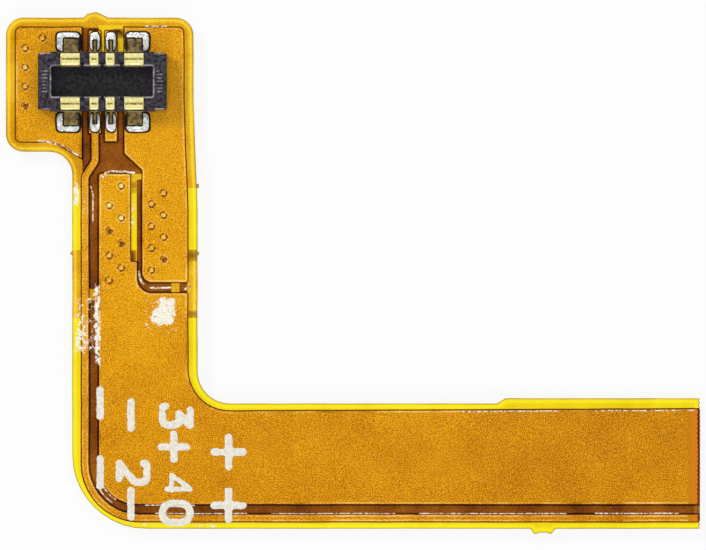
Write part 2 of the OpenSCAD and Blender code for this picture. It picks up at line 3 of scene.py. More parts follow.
import bmesh
import bpy
import numpy as np
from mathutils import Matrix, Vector, noise
from mathutils.geometry import delaunay_2d_cdt


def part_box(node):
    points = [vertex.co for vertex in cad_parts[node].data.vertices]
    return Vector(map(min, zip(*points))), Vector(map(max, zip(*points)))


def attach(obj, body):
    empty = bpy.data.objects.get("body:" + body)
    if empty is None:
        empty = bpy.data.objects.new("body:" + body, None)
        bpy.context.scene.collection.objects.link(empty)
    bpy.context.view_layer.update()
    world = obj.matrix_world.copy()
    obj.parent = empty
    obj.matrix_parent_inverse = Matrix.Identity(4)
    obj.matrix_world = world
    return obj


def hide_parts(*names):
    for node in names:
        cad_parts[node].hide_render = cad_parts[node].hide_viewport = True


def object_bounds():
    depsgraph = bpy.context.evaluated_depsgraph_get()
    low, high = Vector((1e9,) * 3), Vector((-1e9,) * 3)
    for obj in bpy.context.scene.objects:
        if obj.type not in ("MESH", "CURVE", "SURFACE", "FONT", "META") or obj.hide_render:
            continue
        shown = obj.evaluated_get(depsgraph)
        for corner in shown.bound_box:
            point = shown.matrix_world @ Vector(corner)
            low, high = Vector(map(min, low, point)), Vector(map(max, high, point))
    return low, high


# The lead is drawn in millimetres and turned to metres as each mesh is made.
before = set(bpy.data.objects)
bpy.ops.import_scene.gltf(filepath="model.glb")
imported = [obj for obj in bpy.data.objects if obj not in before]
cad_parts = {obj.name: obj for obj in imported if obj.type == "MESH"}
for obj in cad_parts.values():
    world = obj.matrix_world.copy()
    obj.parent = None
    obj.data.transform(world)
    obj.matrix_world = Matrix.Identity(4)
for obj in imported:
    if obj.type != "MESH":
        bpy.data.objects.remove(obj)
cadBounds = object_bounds()
metre = 0.001
scene = bpy.context.scene
scene.view_settings.view_transform = "Standard"
print("frame loaded:", len(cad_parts), "nodes")


def nodeBox(name):
    low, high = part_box(name)
    return low / metre, high / metre


# Levels of the laminate, from the CAD nodes
baseLow, baseHigh = nodeBox("base_film")
levels = {
    "back": baseLow.z,  # underside of the base film
    "front": baseHigh.z,  # top of the base film
    "copper": nodeBox("main_copper")[1].z,  # top of the front copper
    "top": nodeBox("top_cover_film")[1].z,  # top of the upper cover film over copper
}

cameraView = {
    "centre": (6.25, -4.825),  # mm, the point the lens looks straight down on
    "width": 17.65,  # mm across the frame at the film's top
    "lens": 300.0,  # mm, long, so the plug's walls hardly show
    "sensor": 36.0,
    "clip": (0.001, 10.0),  # m
}


def addObject(name, data):
    made = bpy.data.objects.new(name, data)
    scene.collection.objects.link(made)
    return made


def makeCamera():
    data = bpy.data.cameras.new("camera")
    data.lens = cameraView["lens"]
    data.sensor_width = cameraView["sensor"]
    data.clip_start, data.clip_end = cameraView["clip"]
    distance = cameraView["width"] * cameraView["lens"] / cameraView["sensor"]
    camera = addObject("camera", data)
    camera.location = Vector((*cameraView["centre"], levels["top"] + distance)) * metre
    scene.camera = camera


makeCamera()


# Plane geometry: a path is a list of (x, y, corner radius), walked anticlockwise
turns = {
    "room": 0.49,  # share of a side that one corner's rounding may take
    "sharp": 0.001,  # mm, a path's corner of less radius stays sharp
    "lineSharp": 0.02,  # mm, the same for an open line
    "straight": 1.5,  # radians, half the angle past which a line isn't rounded
    "arcStep": 9.0,  # degrees between the points of an arc
    "ringSteps": 5,  # steps round each corner of a ring
    "ringLeast": 0.002,  # mm, its smallest corner
    "batch": 4000,  # points measured at a time
    "nothing": 1e-18,  # keeps a division from zero
}


def unit(v):
    return v / np.linalg.norm(v)


# Directions from b to a and to c, half the angle between them, and how far a rounding may reach
def turnAt(a, b, c):
    u, w = unit(a - b), unit(c - b)
    half = math.acos(max(-1.0, min(1.0, float(u @ w)))) / 2
    return u, w, half, turns["room"] * min(np.linalg.norm(a - b), np.linalg.norm(c - b))


def around(path, i):
    return [np.array(path[j % len(path)][:2], float) for j in (i - 1, i, i + 1)]


def rounded(path):
    points = []
    for i, (_, _, wanted) in enumerate(path):
        a, b, c = around(path, i)
        u, w, half, room = turnAt(a, b, c)
        reach = min(wanted / math.tan(half), room)
        radius = reach * math.tan(half)
        if radius < turns["sharp"]:
            points.append(b)
            continue
        centre = b + unit(u + w) * radius / math.sin(half)
        start = b + u * reach - centre
        angle = math.atan2(start[1], start[0])
        left = -u[0] * w[1] + u[1] * w[0] > 0
        sweep = (math.pi - 2 * half) * (1 if left else -1)
        steps = max(2, math.ceil(abs(math.degrees(sweep)) / turns["arcStep"]))
        for k in range(steps + 1):
            t = angle + sweep * k / steps
            points.append(centre + radius * np.array([math.cos(t), math.sin(t)]))
    return np.array(points)


# The corner b of a path that is moved outward by d
def moved(a, b, c, d):
    u, w = unit(b[:2] - a[:2]), unit(c[:2] - b[:2])
    normal = np.array([u[1] + w[1], -u[0] - w[0]])
    shift = normal * d / (1 + float(u @ w))
    left = u[0] * w[1] - u[1] * w[0] > 0
    radius = 0.0 if b[2] < turns["sharp"] else max(0.0, b[2] + d * (1 if left else -1))
    return (b[0] + shift[0], b[1] + shift[1], radius)


def grown(path, d):
    p = [np.array(q, float) for q in path]
    return [moved(p[i - 1], p[i], p[(i + 1) % len(p)], d) for i in range(len(p))]


# The path round an open line of that width
def stroke(line, width, endRadius=0.0):
    p = [np.array(q, float) for q in line]
    sides = []
    for d in (width / 2, -width / 2):
        row = []
        for i, q in enumerate(p):
            if 0 < i < len(p) - 1:
                row.append(moved(p[i - 1], q, p[i + 1], d))
                continue
            along = unit((p[1] - p[0] if i == 0 else p[-1] - p[-2])[:2])
            row.append((q[0] + along[1] * d, q[1] - along[0] * d, endRadius))
        sides.append(row)
    return sides[0] + sides[1][::-1]


def boxPath(x, y, w, h, r=0.0):
    left, right, low, high = x - w / 2, x + w / 2, y - h / 2, y + h / 2
    return [(left, low, r), (right, low, r), (right, high, r), (left, high, r)]


# Points of a soft turn at b, from b + u to b + w
def bend(b, u, w, steps):
    shares = [k / steps for k in range(steps + 1)]
    return [(1 - t) ** 2 * (b + u) + 2 * t * (1 - t) * b + t * t * (b + w) for t in shares]


# An open line of (x, y, radius) with its bends rounded
def bentLine(line, steps):
    p = [np.array(q[:2], float) for q in line]
    out = [p[0]]
    for i in range(1, len(p) - 1):
        u, w, half, room = turnAt(p[i - 1], p[i], p[i + 1])
        if line[i][2] < turns["lineSharp"] or half > turns["straight"]:
            out.append(p[i])
            continue
        reach = min(line[i][2] / math.tan(half), room)
        out += bend(p[i], u * reach, w * reach, steps)
    return np.array(out + [p[-1]])


# A closed loop with the same number of points at each corner, whatever its radius
def cornerRing(path, shift):
    p = grown(path, shift)
    out = []
    for i, q in enumerate(p):
        u, w, *_ = turnAt(*around(p, i))
        reach = max(q[2], turns["ringLeast"])
        out += bend(np.array(q[:2]), u * reach, w * reach, turns["ringSteps"])
    return np.array(out)


# More points along a line or loop, none further apart than the step
def resampled(points, step, closed=True):
    out = []
    for a, b in zip(points, np.roll(points, -1, axis=0) if closed else points[1:]):
        pieces = max(1, math.ceil(np.linalg.norm(b - a) / step))
        out += [a + (b - a) * k / pieces for k in range(pieces)]
    return np.array(out if closed else out + [points[-1]])


# Distance to the nearest of the segments from a to b
def segmentDistance(spots, a, b):
    e = b - a
    length = np.maximum((e * e).sum(1), turns["nothing"])
    p = spots[:, None]
    t = np.clip(((p - a) * e).sum(2) / length, 0, 1)
    return np.linalg.norm(p - (a + t[..., None] * e), axis=2).min(1)


# Distance to a closed loop, below zero inside it
def signedDistance(spots, loop):
    out = np.empty(len(spots))
    a, b = loop, np.roll(loop, -1, axis=0)
    e = b - a
    rise = np.where(e[:, 1] == 0, turns["nothing"], e[:, 1])
    for s in range(0, len(spots), turns["batch"]):
        part = spots[s:s + turns["batch"]]
        gap = segmentDistance(part, a, b)
        x, y = part[:, None, 0], part[:, None, 1]
        cross = (a[:, 1] > y) != (b[:, 1] > y)
        inside = (cross & (x < e[:, 0] * (y - a[:, 1]) / rise + a[:, 0])).sum(1) % 2 == 1
        out[s:s + turns["batch"]] = np.where(inside, -gap, gap)
    return out


# Distance to a box, below zero inside it
def insideOf(spots, x0, x1, y0, y1):
    dx = np.maximum(x0 - spots[:, 0], spots[:, 0] - x1)
    dy = np.maximum(y0 - spots[:, 1], spots[:, 1] - y1)
    return np.hypot(np.maximum(dx, 0), np.maximum(dy, 0)) + np.minimum(np.maximum(dx, dy), 0)


def nearest(spots, loops):
    return np.min([signedDistance(spots, loop) for loop in loops], axis=0)


def circle(x, y, r, count=20):
    t = np.linspace(0, 2 * math.pi, count, endpoint=False)
    return np.column_stack([x + r * np.cos(t), y + r * np.sin(t)])


def smooth(t):
    t = np.clip(t, 0, 1)
    return t * t * (3 - 2 * t)


# A soft hill, 1 at its middle
def hill(offset, width):
    return np.exp(-((offset / width) ** 2))


# Outlines, in millimetres from the plug's centre
film = {
    "left": -2.43, "top": 1.61, "headRight": 2.26, "headBottom": -1.74,
    "armLeft": -0.77, "armRight": 2.36, "tailTop": -8.04, "tailBottom": -11.17,
    "tailEnd": baseHigh.x, "tailStep": 0.13, "stepX": 9.86, "stepLength": 0.2,
    "headRadius": 0.44, "neckRadius": 0.58, "innerRadius": 0.8, "outerRadius": 1.85,
    "copperRise": 0.06, "flareStart": -0.45, "flareEnd": -3.1,
    "tabWidth": 0.62, "tabRise": 0.14, "tabRadius": 0.04, "headTabX": -0.18, "tailTabX": 11.0,
    "bite": 0.034,  # depth of the bites along the cut end
    "bitePitch": 0.115, "biteRadius": 0.02,
    "lip": 0.03,  # radius of the cut edge
    "lipRings": (0.25, 0.6, 1.0),  # rings of points on it, as shares of the radius
    "lipSteep": 0.97,  # below 1 the rounding ends before the wall stands upright
    "shoulder": (0.045, 0.075, 0.12, 0.16),  # rings of points along the border's lit shoulder
    "wobble": 0.007,  # how far the cut and etched edges wander
    "wobbleSize": 0.8,
    "wave": 0.006,  # how far the film's face rises and falls
    "waveSizes": (0.9, 0.35),
    "calmEdge": 0.3,  # width of the border that the waves leave flat
    "sharp": 35.0,  # degrees, the least angle of a hard edge
    "seed": 5,
    "grid": 0.08,  # spacing of the face's own points
    "jitter": 0.3,  # how far they stray from a grid, as a share of it
    "gridGap": 0.1,  # how far they keep from a copper edge
    "step": 0.2,  # spacing of the points along the film's outline
    "netStep": 0.22,  # along a copper's outline
    "behindStep": 0.3,  # along a copper on the other side
    "shoulderStep": 0.25, "glintLineStep": 0.1,
    "armLine": (-3.0, 3.0), "tailLine": (-12.0, -7.0),  # how far lines across the arm and the tail run
}
nets = {
    "edgeGap": 0.25, "tailGap": 0.2, "poleX": 0.54, "tipDrop": 0.16,
    "splitX": 0.985, "splitStart": -1.78, "splitEnd": -2.2, "sideGap": 0.14,
    "shelfGap": 0.28, "positiveEnd": -5.0, "positiveRadius": 0.24,
    "mainStart": -2.3, "slotWidth": 0.165, "slotEnd": -4.5, "mainRadius": 0.93,
    "senseWidth": 0.165, "senseGap": 0.27, "senseRadius": 1.36,
    "senseStart": -1.98, "senseEnd": -2.36, "senseNearX": 0.01, "senseNearY": 0.015,
    "backGap": 0.28, "backLinkEnd": -5.18, "slitWidth": 0.2, "slitLength": 0.6,
    "slitFromRight": 0.55, "radius": 0.05, "headRadius": 0.12, "neckX": 0.46,
    "sink": 0.02, "dropStart": 0.01, "dropEnd": 0.08,
}
plug = {
    "length": 3.2, "width": 1.48, "wall": 0.365, "end": 0.34, "troughDepth": 0.35,
    "powerX": 0.795, "signalX": 0.2, "powerWidth": 0.48, "signalWidth": 0.22,
    "powerFoot": 0.36, "signalFoot": 0.14, "strip": 0.08, "bend": 0.07,
    "proud": 0.02, "foot": 0.335, "blade": 0.28,
    "powerPadX": 0.87, "signalPadX": 0.2, "powerPad": 0.62, "signalPad": 0.25,
    "padLength": 0.5, "padClear": 0.02, "padRound": 5,  # its corner radius as a part of its width
    "land": 0.02, "stub": 0.2,
}
wallY = plug["width"] / 2
padY = wallY + plug["padClear"]
netLeft = film["left"] + nets["edgeGap"]
netRight = film["headRight"] - nets["edgeGap"]
netBottom = film["headBottom"] + nets["edgeGap"]
headTop = film["top"] - nets["edgeGap"]
tipY = film["headBottom"] - nets["tipDrop"]
armBack = film["armLeft"] + nets["edgeGap"]
tailBack = film["tailBottom"] + nets["tailGap"]
senseX = armBack - nets["senseNearX"] + nets["senseWidth"] / 2
senseY = tailBack - nets["senseNearY"] + nets["senseWidth"] / 2
mainLeft = armBack - nets["senseNearX"] + nets["senseWidth"] + nets["senseGap"]
mainBottom = senseY + nets["senseWidth"] / 2 + nets["senseGap"]
mainRight = nets["splitX"] - nets["sideGap"]
slotLeft = mainRight - nets["slotWidth"]
shelfY = nets["positiveEnd"] - nets["shelfGap"]
rightEdge = film["armRight"] - nets["edgeGap"]
tailTopGap = film["tailTop"] - nets["tailGap"]
tailEdge = film["stepX"] + film["stepLength"]


# Torn bridges to the panel: each point's share of the tab's half width and of its rise
tornTab = [(-1.0, 0.0), (-0.62, 0.42), (-0.3, 0.78), (0.0, 1.0), (0.3, 0.86), (0.72, 0.66), (1.0, 0.0)]
bittenTab = [(-1.0, 0.0), (-0.8, 0.7), (-0.62, 1.0), (-0.3, 0.72), (0.3, 0.7), (0.66, 0.98), (1.0, 0.0)]


def tab(x, y, way, shape):
    half, rise = film["tabWidth"] / 2, film["tabRise"]
    return [(x + way * s * half, y - way * t * rise, film["tabRadius"]) for s, t in shape]


# The tail's cut end, from its lower corner up: shallow bites left by the blade
def cutEnd():
    low, high = film["tailBottom"], film["tailTop"] + film["tailStep"]
    count = 2 * round((high - low) / film["bitePitch"])
    depths = [film["bite"] if i % 2 else 0 for i in range(count + 1)]
    return [
        (film["tailEnd"] - depth, low + (high - low) * i / count, film["biteRadius"])
        for i, depth in enumerate(depths)
    ]


filmPath = [
    (film["left"], film["headBottom"], film["headRadius"]),
    (film["armLeft"], film["headBottom"], film["neckRadius"]),
    (film["armLeft"], film["tailBottom"], film["outerRadius"]),
    *tab(film["tailTabX"], film["tailBottom"], 1, bittenTab),
    *cutEnd(),
    (tailEdge, film["tailTop"] + film["tailStep"], film["tailStep"]),
    (film["stepX"], film["tailTop"], film["tailStep"]),
    (film["armRight"], film["tailTop"], film["innerRadius"]),
    (film["armRight"], film["flareEnd"], film["innerRadius"]),
    (film["headRight"], film["flareStart"], film["innerRadius"]),
    (film["headRight"], film["top"], film["headRadius"]),
    *tab(film["headTabX"], film["top"], -1, tornTab),
    (film["left"], film["top"], film["headRadius"]),
]
headEdge = [
    (netLeft, netBottom, nets["headRadius"]),
    (film["armLeft"] - nets["neckX"], netBottom, film["neckRadius"]),
]
headNet = headEdge + [
    (-nets["poleX"], tipY, 0),
    (-nets["poleX"], headTop, 0),
    (netLeft, headTop, nets["headRadius"]),
]
positiveNet = [
    (nets["poleX"], nets["splitStart"], 0),
    (nets["splitX"], nets["splitEnd"], nets["radius"]),
    (nets["splitX"], nets["positiveEnd"], nets["positiveRadius"]),
    (rightEdge, nets["positiveEnd"], nets["radius"]),
    (rightEdge, film["flareEnd"], film["innerRadius"]),
    (netRight, film["flareStart"], film["innerRadius"]),
    (netRight, headTop, nets["headRadius"]),
    (nets["poleX"], headTop, 0),
]
tailRim = [
    (film["tailEnd"], tailTopGap + film["copperRise"], 0),
    (rightEdge, tailTopGap, film["innerRadius"] + nets["edgeGap"]),
]
mainNet = [
    (mainLeft, nets["mainStart"], nets["radius"]),
    (mainLeft, mainBottom, nets["mainRadius"]),
    (film["tailEnd"], mainBottom, 0),
    *tailRim,
    (rightEdge, shelfY, nets["radius"]),
    (mainRight, shelfY, nets["positiveRadius"] + nets["sideGap"]),
    (mainRight, nets["slotEnd"], nets["radius"]),
    (slotLeft, nets["slotEnd"], nets["radius"]),
    (slotLeft, nets["mainStart"], nets["radius"]),
]
senseNet = stroke([
    (-plug["signalX"], -padY, 0),
    (-plug["signalX"], nets["senseStart"], nets["senseWidth"]),
    (senseX, nets["senseEnd"], nets["senseWidth"]),
    (senseX, senseY, nets["senseRadius"]),
    (film["tailEnd"], senseY, 0),
], nets["senseWidth"])


def landPath(way, row, extra=0.0):
    w = plug["signalPad"] + 2 * plug["land"]
    h = plug["padLength"] + extra
    y = row * (padY + h / 2)
    return boxPath(way * plug["signalX"], y, w, h + 2 * plug["land"], plug["land"])


def padPath(x, row, w):
    r = min(w, plug["padLength"]) / plug["padRound"]
    return boxPath(x, row * (padY + plug["padLength"] / 2), w, plug["padLength"], r)


frontNets = [
    headNet, positiveNet, mainNet, senseNet,
    landPath(-1, 1), landPath(1, 1), landPath(1, -1, plug["stub"]), landPath(-1, -1),
]
backNegative = headEdge + [
    (armBack, tipY, 0),
    (armBack, nets["backLinkEnd"], nets["radius"]),
    (slotLeft, nets["backLinkEnd"], nets["radius"]),
    (slotLeft, nets["mainStart"], 0),
    (nets["splitX"], nets["mainStart"], 0),
    (nets["splitX"], -wallY / 4, nets["radius"]),
    (-plug["signalX"] / 2, wallY / 4, nets["radius"]),
    (-plug["signalX"] / 2, headTop, 0),
    (netLeft, headTop, nets["headRadius"]),
]
backTop = nets["mainStart"] - nets["sideGap"]
backShelf = nets["backLinkEnd"] - nets["backGap"]
backPositive = [
    (mainRight, backTop, 0),
    (mainRight, backShelf, 0),
    (armBack, backShelf, nets["radius"]),
    (armBack, tailBack, film["outerRadius"] - nets["edgeGap"]),
    (film["tailEnd"], tailBack, 0),
    *tailRim,
    (rightEdge, backTop, nets["radius"]),
]
slit = boxPath(
    film["armRight"] - nets["slitFromRight"], nets["positiveEnd"] - nets["shelfGap"] / 2,
    nets["slitWidth"], nets["slitLength"],
)
pads = [
    padPath(way * plug[kind + "PadX"], row, plug[kind + "Pad"])
    for kind in ("power", "signal") for way in (-1, 1) for row in (-1, 1)
]
backNets = [backNegative, backPositive]

holes = {
    "columnIn": 0.23, "columnTop": 0.85, "columnPitch": 0.48, "oddRight": 0.43, "oddUp": 0.25,
    "zigzag": 0.3, "negativeX": 0.4, "negativeDrop": 0.3, "negativePitch": 0.312, "skip": 0.175,
    "positiveX": 0.38, "positiveDrop": 0.48, "positivePitch": 0.275, "count": 8,
    "rings": (0.025, 0.05, 0.072, 0.1, 0.12),  # the dimple's own rings of points
    "core": 0.05, "dark": 0.1, "halo": 0.12,  # outer radius of its painted highlight middle, its ring of painted shade and its painted highlight halo
    "ringTurn": 0.35,  # how far the painted shade ring's thick side may turn, in radians
    "filled": 0.15,  # share of the dimples whose middle is painted shade instead
    "thickFrom": 0.2, "thinFrom": -0.6,  # where its ring is thick and where thin, as a cosine
    "dent": 0.03, "dentRadius": 0.06, "rim": 0.014, "rimRadius": 0.116, "rimWidth": 0.02,
    "reach": 0.18,  # how far a dimple shapes the film
    "backShare": 0.6,  # how deep it is on the back, as a share
    "gridGap": 0.16,  # how far the grid's points keep from it
    "seed": 8,
}
columnX = netLeft + holes["columnIn"]
dimples = [(columnX, holes["columnTop"] - i * holes["columnPitch"]) for i in range(4)]
dimples.append((columnX + holes["oddRight"], holes["columnTop"] + holes["oddUp"]))
for i in range(holes["count"]):
    sway = (1 if i % 2 == 0 else -1) * holes["zigzag"] / 2
    late = holes["skip"] if i else 0.0
    y = nets["mainStart"] - holes["negativeDrop"] - i * holes["negativePitch"] - late
    dimples.append((mainLeft + holes["negativeX"] + sway, y))
    y = nets["mainStart"] - holes["positiveDrop"] - i * holes["positivePitch"]
    dimples.append((nets["splitX"] + holes["positiveX"] + sway, y))
dimples = np.array(dimples)

filmLoop = rounded(filmPath)
frontLoops = [rounded(p) for p in frontNets]
backLoops = [rounded(p) for p in backNets]
slitLoop = rounded(slit)


# Joins loops, open lines and loose points into triangles, and keeps those inside the outer loop
def triangulate(loops, extra, outer, lines=()):
    points, edges = [], []
    for a, b in lines:
        steps = math.ceil(math.dist(a, b) / film["grid"])
        start = len(points)
        points += [tuple(p) for p in np.linspace(a, b, steps + 1)]
        edges += [(start + i, start + i + 1) for i in range(steps)]
    for loop in loops:
        start, count = len(points), len(loop)
        points += [tuple(p) for p in loop]
        edges += [(start + i, start + (i + 1) % count) for i in range(count)]
    points += [tuple(p) for p in extra]
    verts, _, faces, *_ = delaunay_2d_cdt([Vector(p) for p in points], edges, [], 0, 1e-5)
    xy = np.array([tuple(v) for v in verts])
    tris = np.array([tuple(f) for f in faces])
    return xy, tris[signedDistance(xy[tris].mean(1), outer) < 0]


# Drops the points that no triangle uses
def compact(xy, tris):
    used = np.unique(tris)
    index = np.full(len(xy), -1)
    index[used] = np.arange(len(used))
    return xy[used], index[tris]


# Points and faces of a sheet: its near face, its far face, and the walls that close its free edges
def sheet(xy, tris, near, far, side=1):
    count = len(xy)
    verts = np.vstack([np.column_stack([xy, np.broadcast_to(z, count)]) for z in (near, far)])
    edges = set()
    for a, b, c in tris.tolist():
        edges.update(((a, b), (b, c), (c, a)))
    free = sorted((a, b) for a, b in edges if (b, a) not in edges)
    walls = [(b, a, a + count, b + count)[::side] for a, b in free]
    return verts, [*map(tuple, tris[:, ::side]), *map(tuple, tris[:, ::-side] + count), *walls]


def jitteredGrid(loop, step, seed):
    low, high = loop.min(0), loop.max(0)
    nx, ny = (np.ceil((high - low) / step)).astype(int)
    rng = np.random.default_rng(seed)
    gx, gy = np.meshgrid(low[0] + step * (np.arange(nx) + 0.5), low[1] + step * (np.arange(ny) + 0.5))
    spots = np.column_stack([gx.ravel(), gy.ravel()])
    return spots + rng.uniform(-film["jitter"], film["jitter"], spots.shape) * step


# Smooth noise from -1 to 1 with features about size millimetres across
def softNoise(xy, size, seed=0.0):
    return np.array([noise.noise(Vector((x / size, y / size, seed))) for x, y in xy])


# How far the film's face stands from the base film at each point: side 1 is the front face
def faceHeight(xy, side):
    gap = nearest(xy, frontLoops if side > 0 else backLoops)
    if side < 0:
        gap = np.maximum(gap, -signedDistance(xy, slitLoop))
    drop = smooth((gap - nets["dropStart"]) / (nets["dropEnd"] - nets["dropStart"]))
    height = levels["top"] - levels["front"] - nets["sink"] * drop
    edge = -signedDistance(xy, filmLoop)
    t = np.clip(1 - edge / film["lip"], 0, 1)
    height -= film["lip"] * (1 - np.sqrt(1 - t * t * film["lipSteep"]))
    for x, y in dimples:
        r = np.hypot(xy[:, 0] - x, xy[:, 1] - y)
        dip = holes["rim"] * hill(r - holes["rimRadius"], holes["rimWidth"])
        dip -= holes["dent"] * hill(r, holes["dentRadius"])
        height += np.where(r < holes["reach"], dip, 0) * (1 if side > 0 else holes["backShare"])
    broad, fine = film["waveSizes"]
    waves = softNoise(xy, broad, 3.0 * side) + 0.5 * softNoise(xy, fine, 7.0 * side)
    return height + smooth(edge / film["calmEdge"]) * film["wave"] * waves * 0.5


# Moves points a little, so no etched or cut edge is dead straight, and keeps them in the part's box
def wander(xy):
    shift = np.column_stack([softNoise(xy, film["wobbleSize"], seed) for seed in (11.0, 17.0)])
    low, high = (np.array(end[:2]) / metre for end in cadBounds)
    return np.clip(xy + film["wobble"] * shift, low, high)


def makeMesh(name, verts, faces, materials, faceMaterial=None, sharp=40.0):
    mesh = bpy.data.meshes.new(name)
    mesh.from_pydata([tuple(np.array(v) * metre) for v in verts], [], [tuple(f) for f in faces])
    for m in materials:
        mesh.materials.append(m)
    if faceMaterial is not None:
        mesh.polygons.foreach_set("material_index", np.array(faceMaterial, np.int32))
    mesh.validate()
    mesh.update()
    mesh.shade_smooth()
    mesh.set_sharp_from_angle(angle=math.radians(sharp))
    return addObject(name, mesh)


def place(piece, slot, *nodes):
    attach(piece, "root")
    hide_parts(*nodes)
    return piece


# Materials
def linear(code):
    channels = [int(code[i:i + 2], 16) / 255 for i in (1, 3, 5)]
    return tuple(c / 12.92 if c <= 0.04045 else ((c + 0.055) / 1.055) ** 2.4 for c in channels) + (1.0,)


# Adds a node: settings are its own properties, inputs its sockets' values or links
def addNode(tree, kind, inputs=None, **settings):
    node = tree.nodes.new("ShaderNode" + kind)
    for key, value in settings.items():
        setattr(node, key, value)
    for key, value in (inputs or {}).items():
        if isinstance(value, bpy.types.NodeSocket):
            tree.links.new(value, node.inputs[key])
        else:
            node.inputs[key].default_value = value
    return node


def newMaterial(name):
    material = bpy.data.materials.new(name)
    material.use_nodes = True
    tree = material.node_tree
    tree.nodes.clear()
    output = addNode(tree, "OutputMaterial")
    shader = addNode(tree, "BsdfPrincipled")
    tree.links.new(shader.outputs["BSDF"], output.inputs["Surface"])
    return material, tree, shader


# Noise scale that gives features of that size in object space
def perMetre(millimetres):
    return 1 / (millimetres * metre)


def setRamp(node, stops):
    ramp = node.color_ramp
    while len(ramp.elements) < len(stops):
        ramp.elements.new(0.5)
    for element, (spot, colour) in zip(ramp.elements, stops):
        element.position = spot
        element.color = linear(colour)


bumpDepth = 0.01  # mm


# Gives the shader its colour, its plain values and a fine relief
def finishShader(tree, shader, where, colour, values, size, strength, detail):
    tree.links.new(colour, shader.inputs["Base Color"])
    for key, value in values.items():
        shader.inputs[key].default_value = value
    relief = addNode(tree, "TexNoise", {"Vector": where, "Scale": perMetre(size), "Detail": detail})
    bump = addNode(tree, "Bump", {
        "Height": relief.outputs["Fac"], "Strength": strength, "Distance": bumpDepth * metre})
    tree.links.new(bump.outputs["Normal"], shader.inputs["Normal"])


filmLooks = {
    "grain": 0.029,  # mm, the copper's etched grain as it shows through the film
    "cloud": 0.9,  # mm, slow drift in the adhesive
    "peel": 0.12,  # mm, the cover film's faint orange peel
    "crumb": 0.09,  # mm, how a patch of painted glare breaks up
    "shoulderHighlightGain": 0.55,  # painted highlight: how much paler the border's rounded shoulder is
    # Colours of the painted glare
    "glareWhite": "#fffdf2",
    "glareCream": "#e6cc9c",
    "stainAndShadow": "#5a1e00",  # cured adhesive seen through the film, and painted shadow cast by the stiffeners' ends
    "roughness": 0.2,
    "specular": 0.09,
}


# Polyimide film, pressed glossy. Grain is copper seen through it, cloud its adhesive
def filmMaterial(name, deep, mid, light, grain, cloud, peel=0.25, along=()):
    material, tree, shader = newMaterial(name)
    where = addNode(tree, "TexCoord").outputs["Object"]
    fine = addNode(tree, "TexNoise", {
        "Vector": where, "Scale": perMetre(filmLooks["grain"]), "Detail": 3.0, "Roughness": 0.6})
    slow = addNode(tree, "TexNoise", {"Vector": where, "Scale": perMetre(filmLooks["cloud"]), "Detail": 2.0})
    spread, drift = (
        addNode(tree, "MapRange", {
            "Value": source.outputs["Fac"], "From Min": 0.3, "From Max": 0.7,
            "To Min": middle - reach, "To Max": middle + reach}, clamp=False)
        for source, middle, reach in ((fine, 0.0, grain), (slow, 0.5, cloud)))
    tone = addNode(tree, "Math", {0: spread.outputs[0], 1: drift.outputs[0]}, operation="ADD")
    # Painted highlight along the border's rounded shoulder
    rim = addNode(tree, "Attribute", attribute_name="rim").outputs["Fac"]
    last = addNode(tree, "Math", {
        0: rim, 1: filmLooks["shoulderHighlightGain"], 2: tone.outputs[0]}, operation="MULTIPLY_ADD").outputs[0]
    for axis, low, high, shift in along:
        split = addNode(tree, "SeparateXYZ", {"Vector": where})
        lean = addNode(tree, "MapRange", {
            "Value": split.outputs[axis], "From Min": low * metre, "From Max": high * metre,
            "To Min": 0.0, "To Max": shift}, interpolation_type="SMOOTHSTEP")
        last = addNode(tree, "Math", {0: last, 1: lean.outputs[0]}, operation="ADD").outputs[0]
    ramp = addNode(tree, "ValToRGB", {"Fac": last})
    setRamp(ramp, [(0.0, deep), (0.5, mid), (1.0, light)])
    # Painted glare: white highlight patches, broken up by noise
    glareAmount = addNode(tree, "Attribute", attribute_name="glare").outputs["Fac"]
    crumbs = addNode(tree, "TexNoise", {
        "Vector": where, "Scale": perMetre(filmLooks["crumb"]), "Detail": 4.0, "Roughness": 0.65})
    broken = addNode(tree, "Math", {0: glareAmount, 1: crumbs.outputs["Fac"]}, operation="ADD")
    mask = addNode(tree, "MapRange", {
        "Value": broken.outputs[0], "From Min": 1.0, "From Max": 1.12}, interpolation_type="SMOOTHSTEP")
    glareTone = addNode(tree, "ValToRGB", {"Fac": fine.outputs["Fac"]})
    setRamp(glareTone, [(0.36, filmLooks["glareCream"]), (0.5, filmLooks["glareWhite"])])
    # A cured-adhesive stain, and painted shadow at the stiffeners' ends
    dark = addNode(tree, "Attribute", attribute_name="stainAndShadow").outputs["Fac"]
    stainedAndShaded = addNode(tree, "Mix", {
        0: dark, 6: ramp.outputs["Color"], 7: linear(filmLooks["stainAndShadow"])}, data_type="RGBA")
    worn = addNode(tree, "Mix", {
        0: mask.outputs[0], 6: stainedAndShaded.outputs[2], 7: glareTone.outputs["Color"]}, data_type="RGBA")
    values = {"Roughness": filmLooks["roughness"], "Specular IOR Level": filmLooks["specular"]}
    finishShader(tree, shader, where, worn.outputs[2], values, filmLooks["peel"], peel, 2.0)
    return material


# A finish whose colour drifts between two tones, with a fine relief and, if asked, thin veins
def plainMaterial(name, low, high, size, roughness, metallic=0.0, bump=0.2, bumpSize=None, detail=3.0,
                  spread=0.15, specular=0.5, vein=None):
    material, tree, shader = newMaterial(name)
    where = addNode(tree, "TexCoord").outputs["Object"]
    tone = addNode(tree, "TexNoise", {
        "Vector": where, "Scale": perMetre(size), "Detail": detail, "Roughness": 0.6})
    ramp = addNode(tree, "ValToRGB", {"Fac": tone.outputs["Fac"]})
    stops = [(0.5 - spread, low), (0.5 + spread, high)]
    if vein:
        stops[1:] = [(0.46, high), (0.485, vein), (0.5, high)]
    setRamp(ramp, stops)
    values = {"Roughness": roughness, "Metallic": metallic, "Specular IOR Level": specular}
    finishShader(tree, shader, where, ramp.outputs["Color"], values, bumpSize or size / 2, bump, 3.0)
    return material


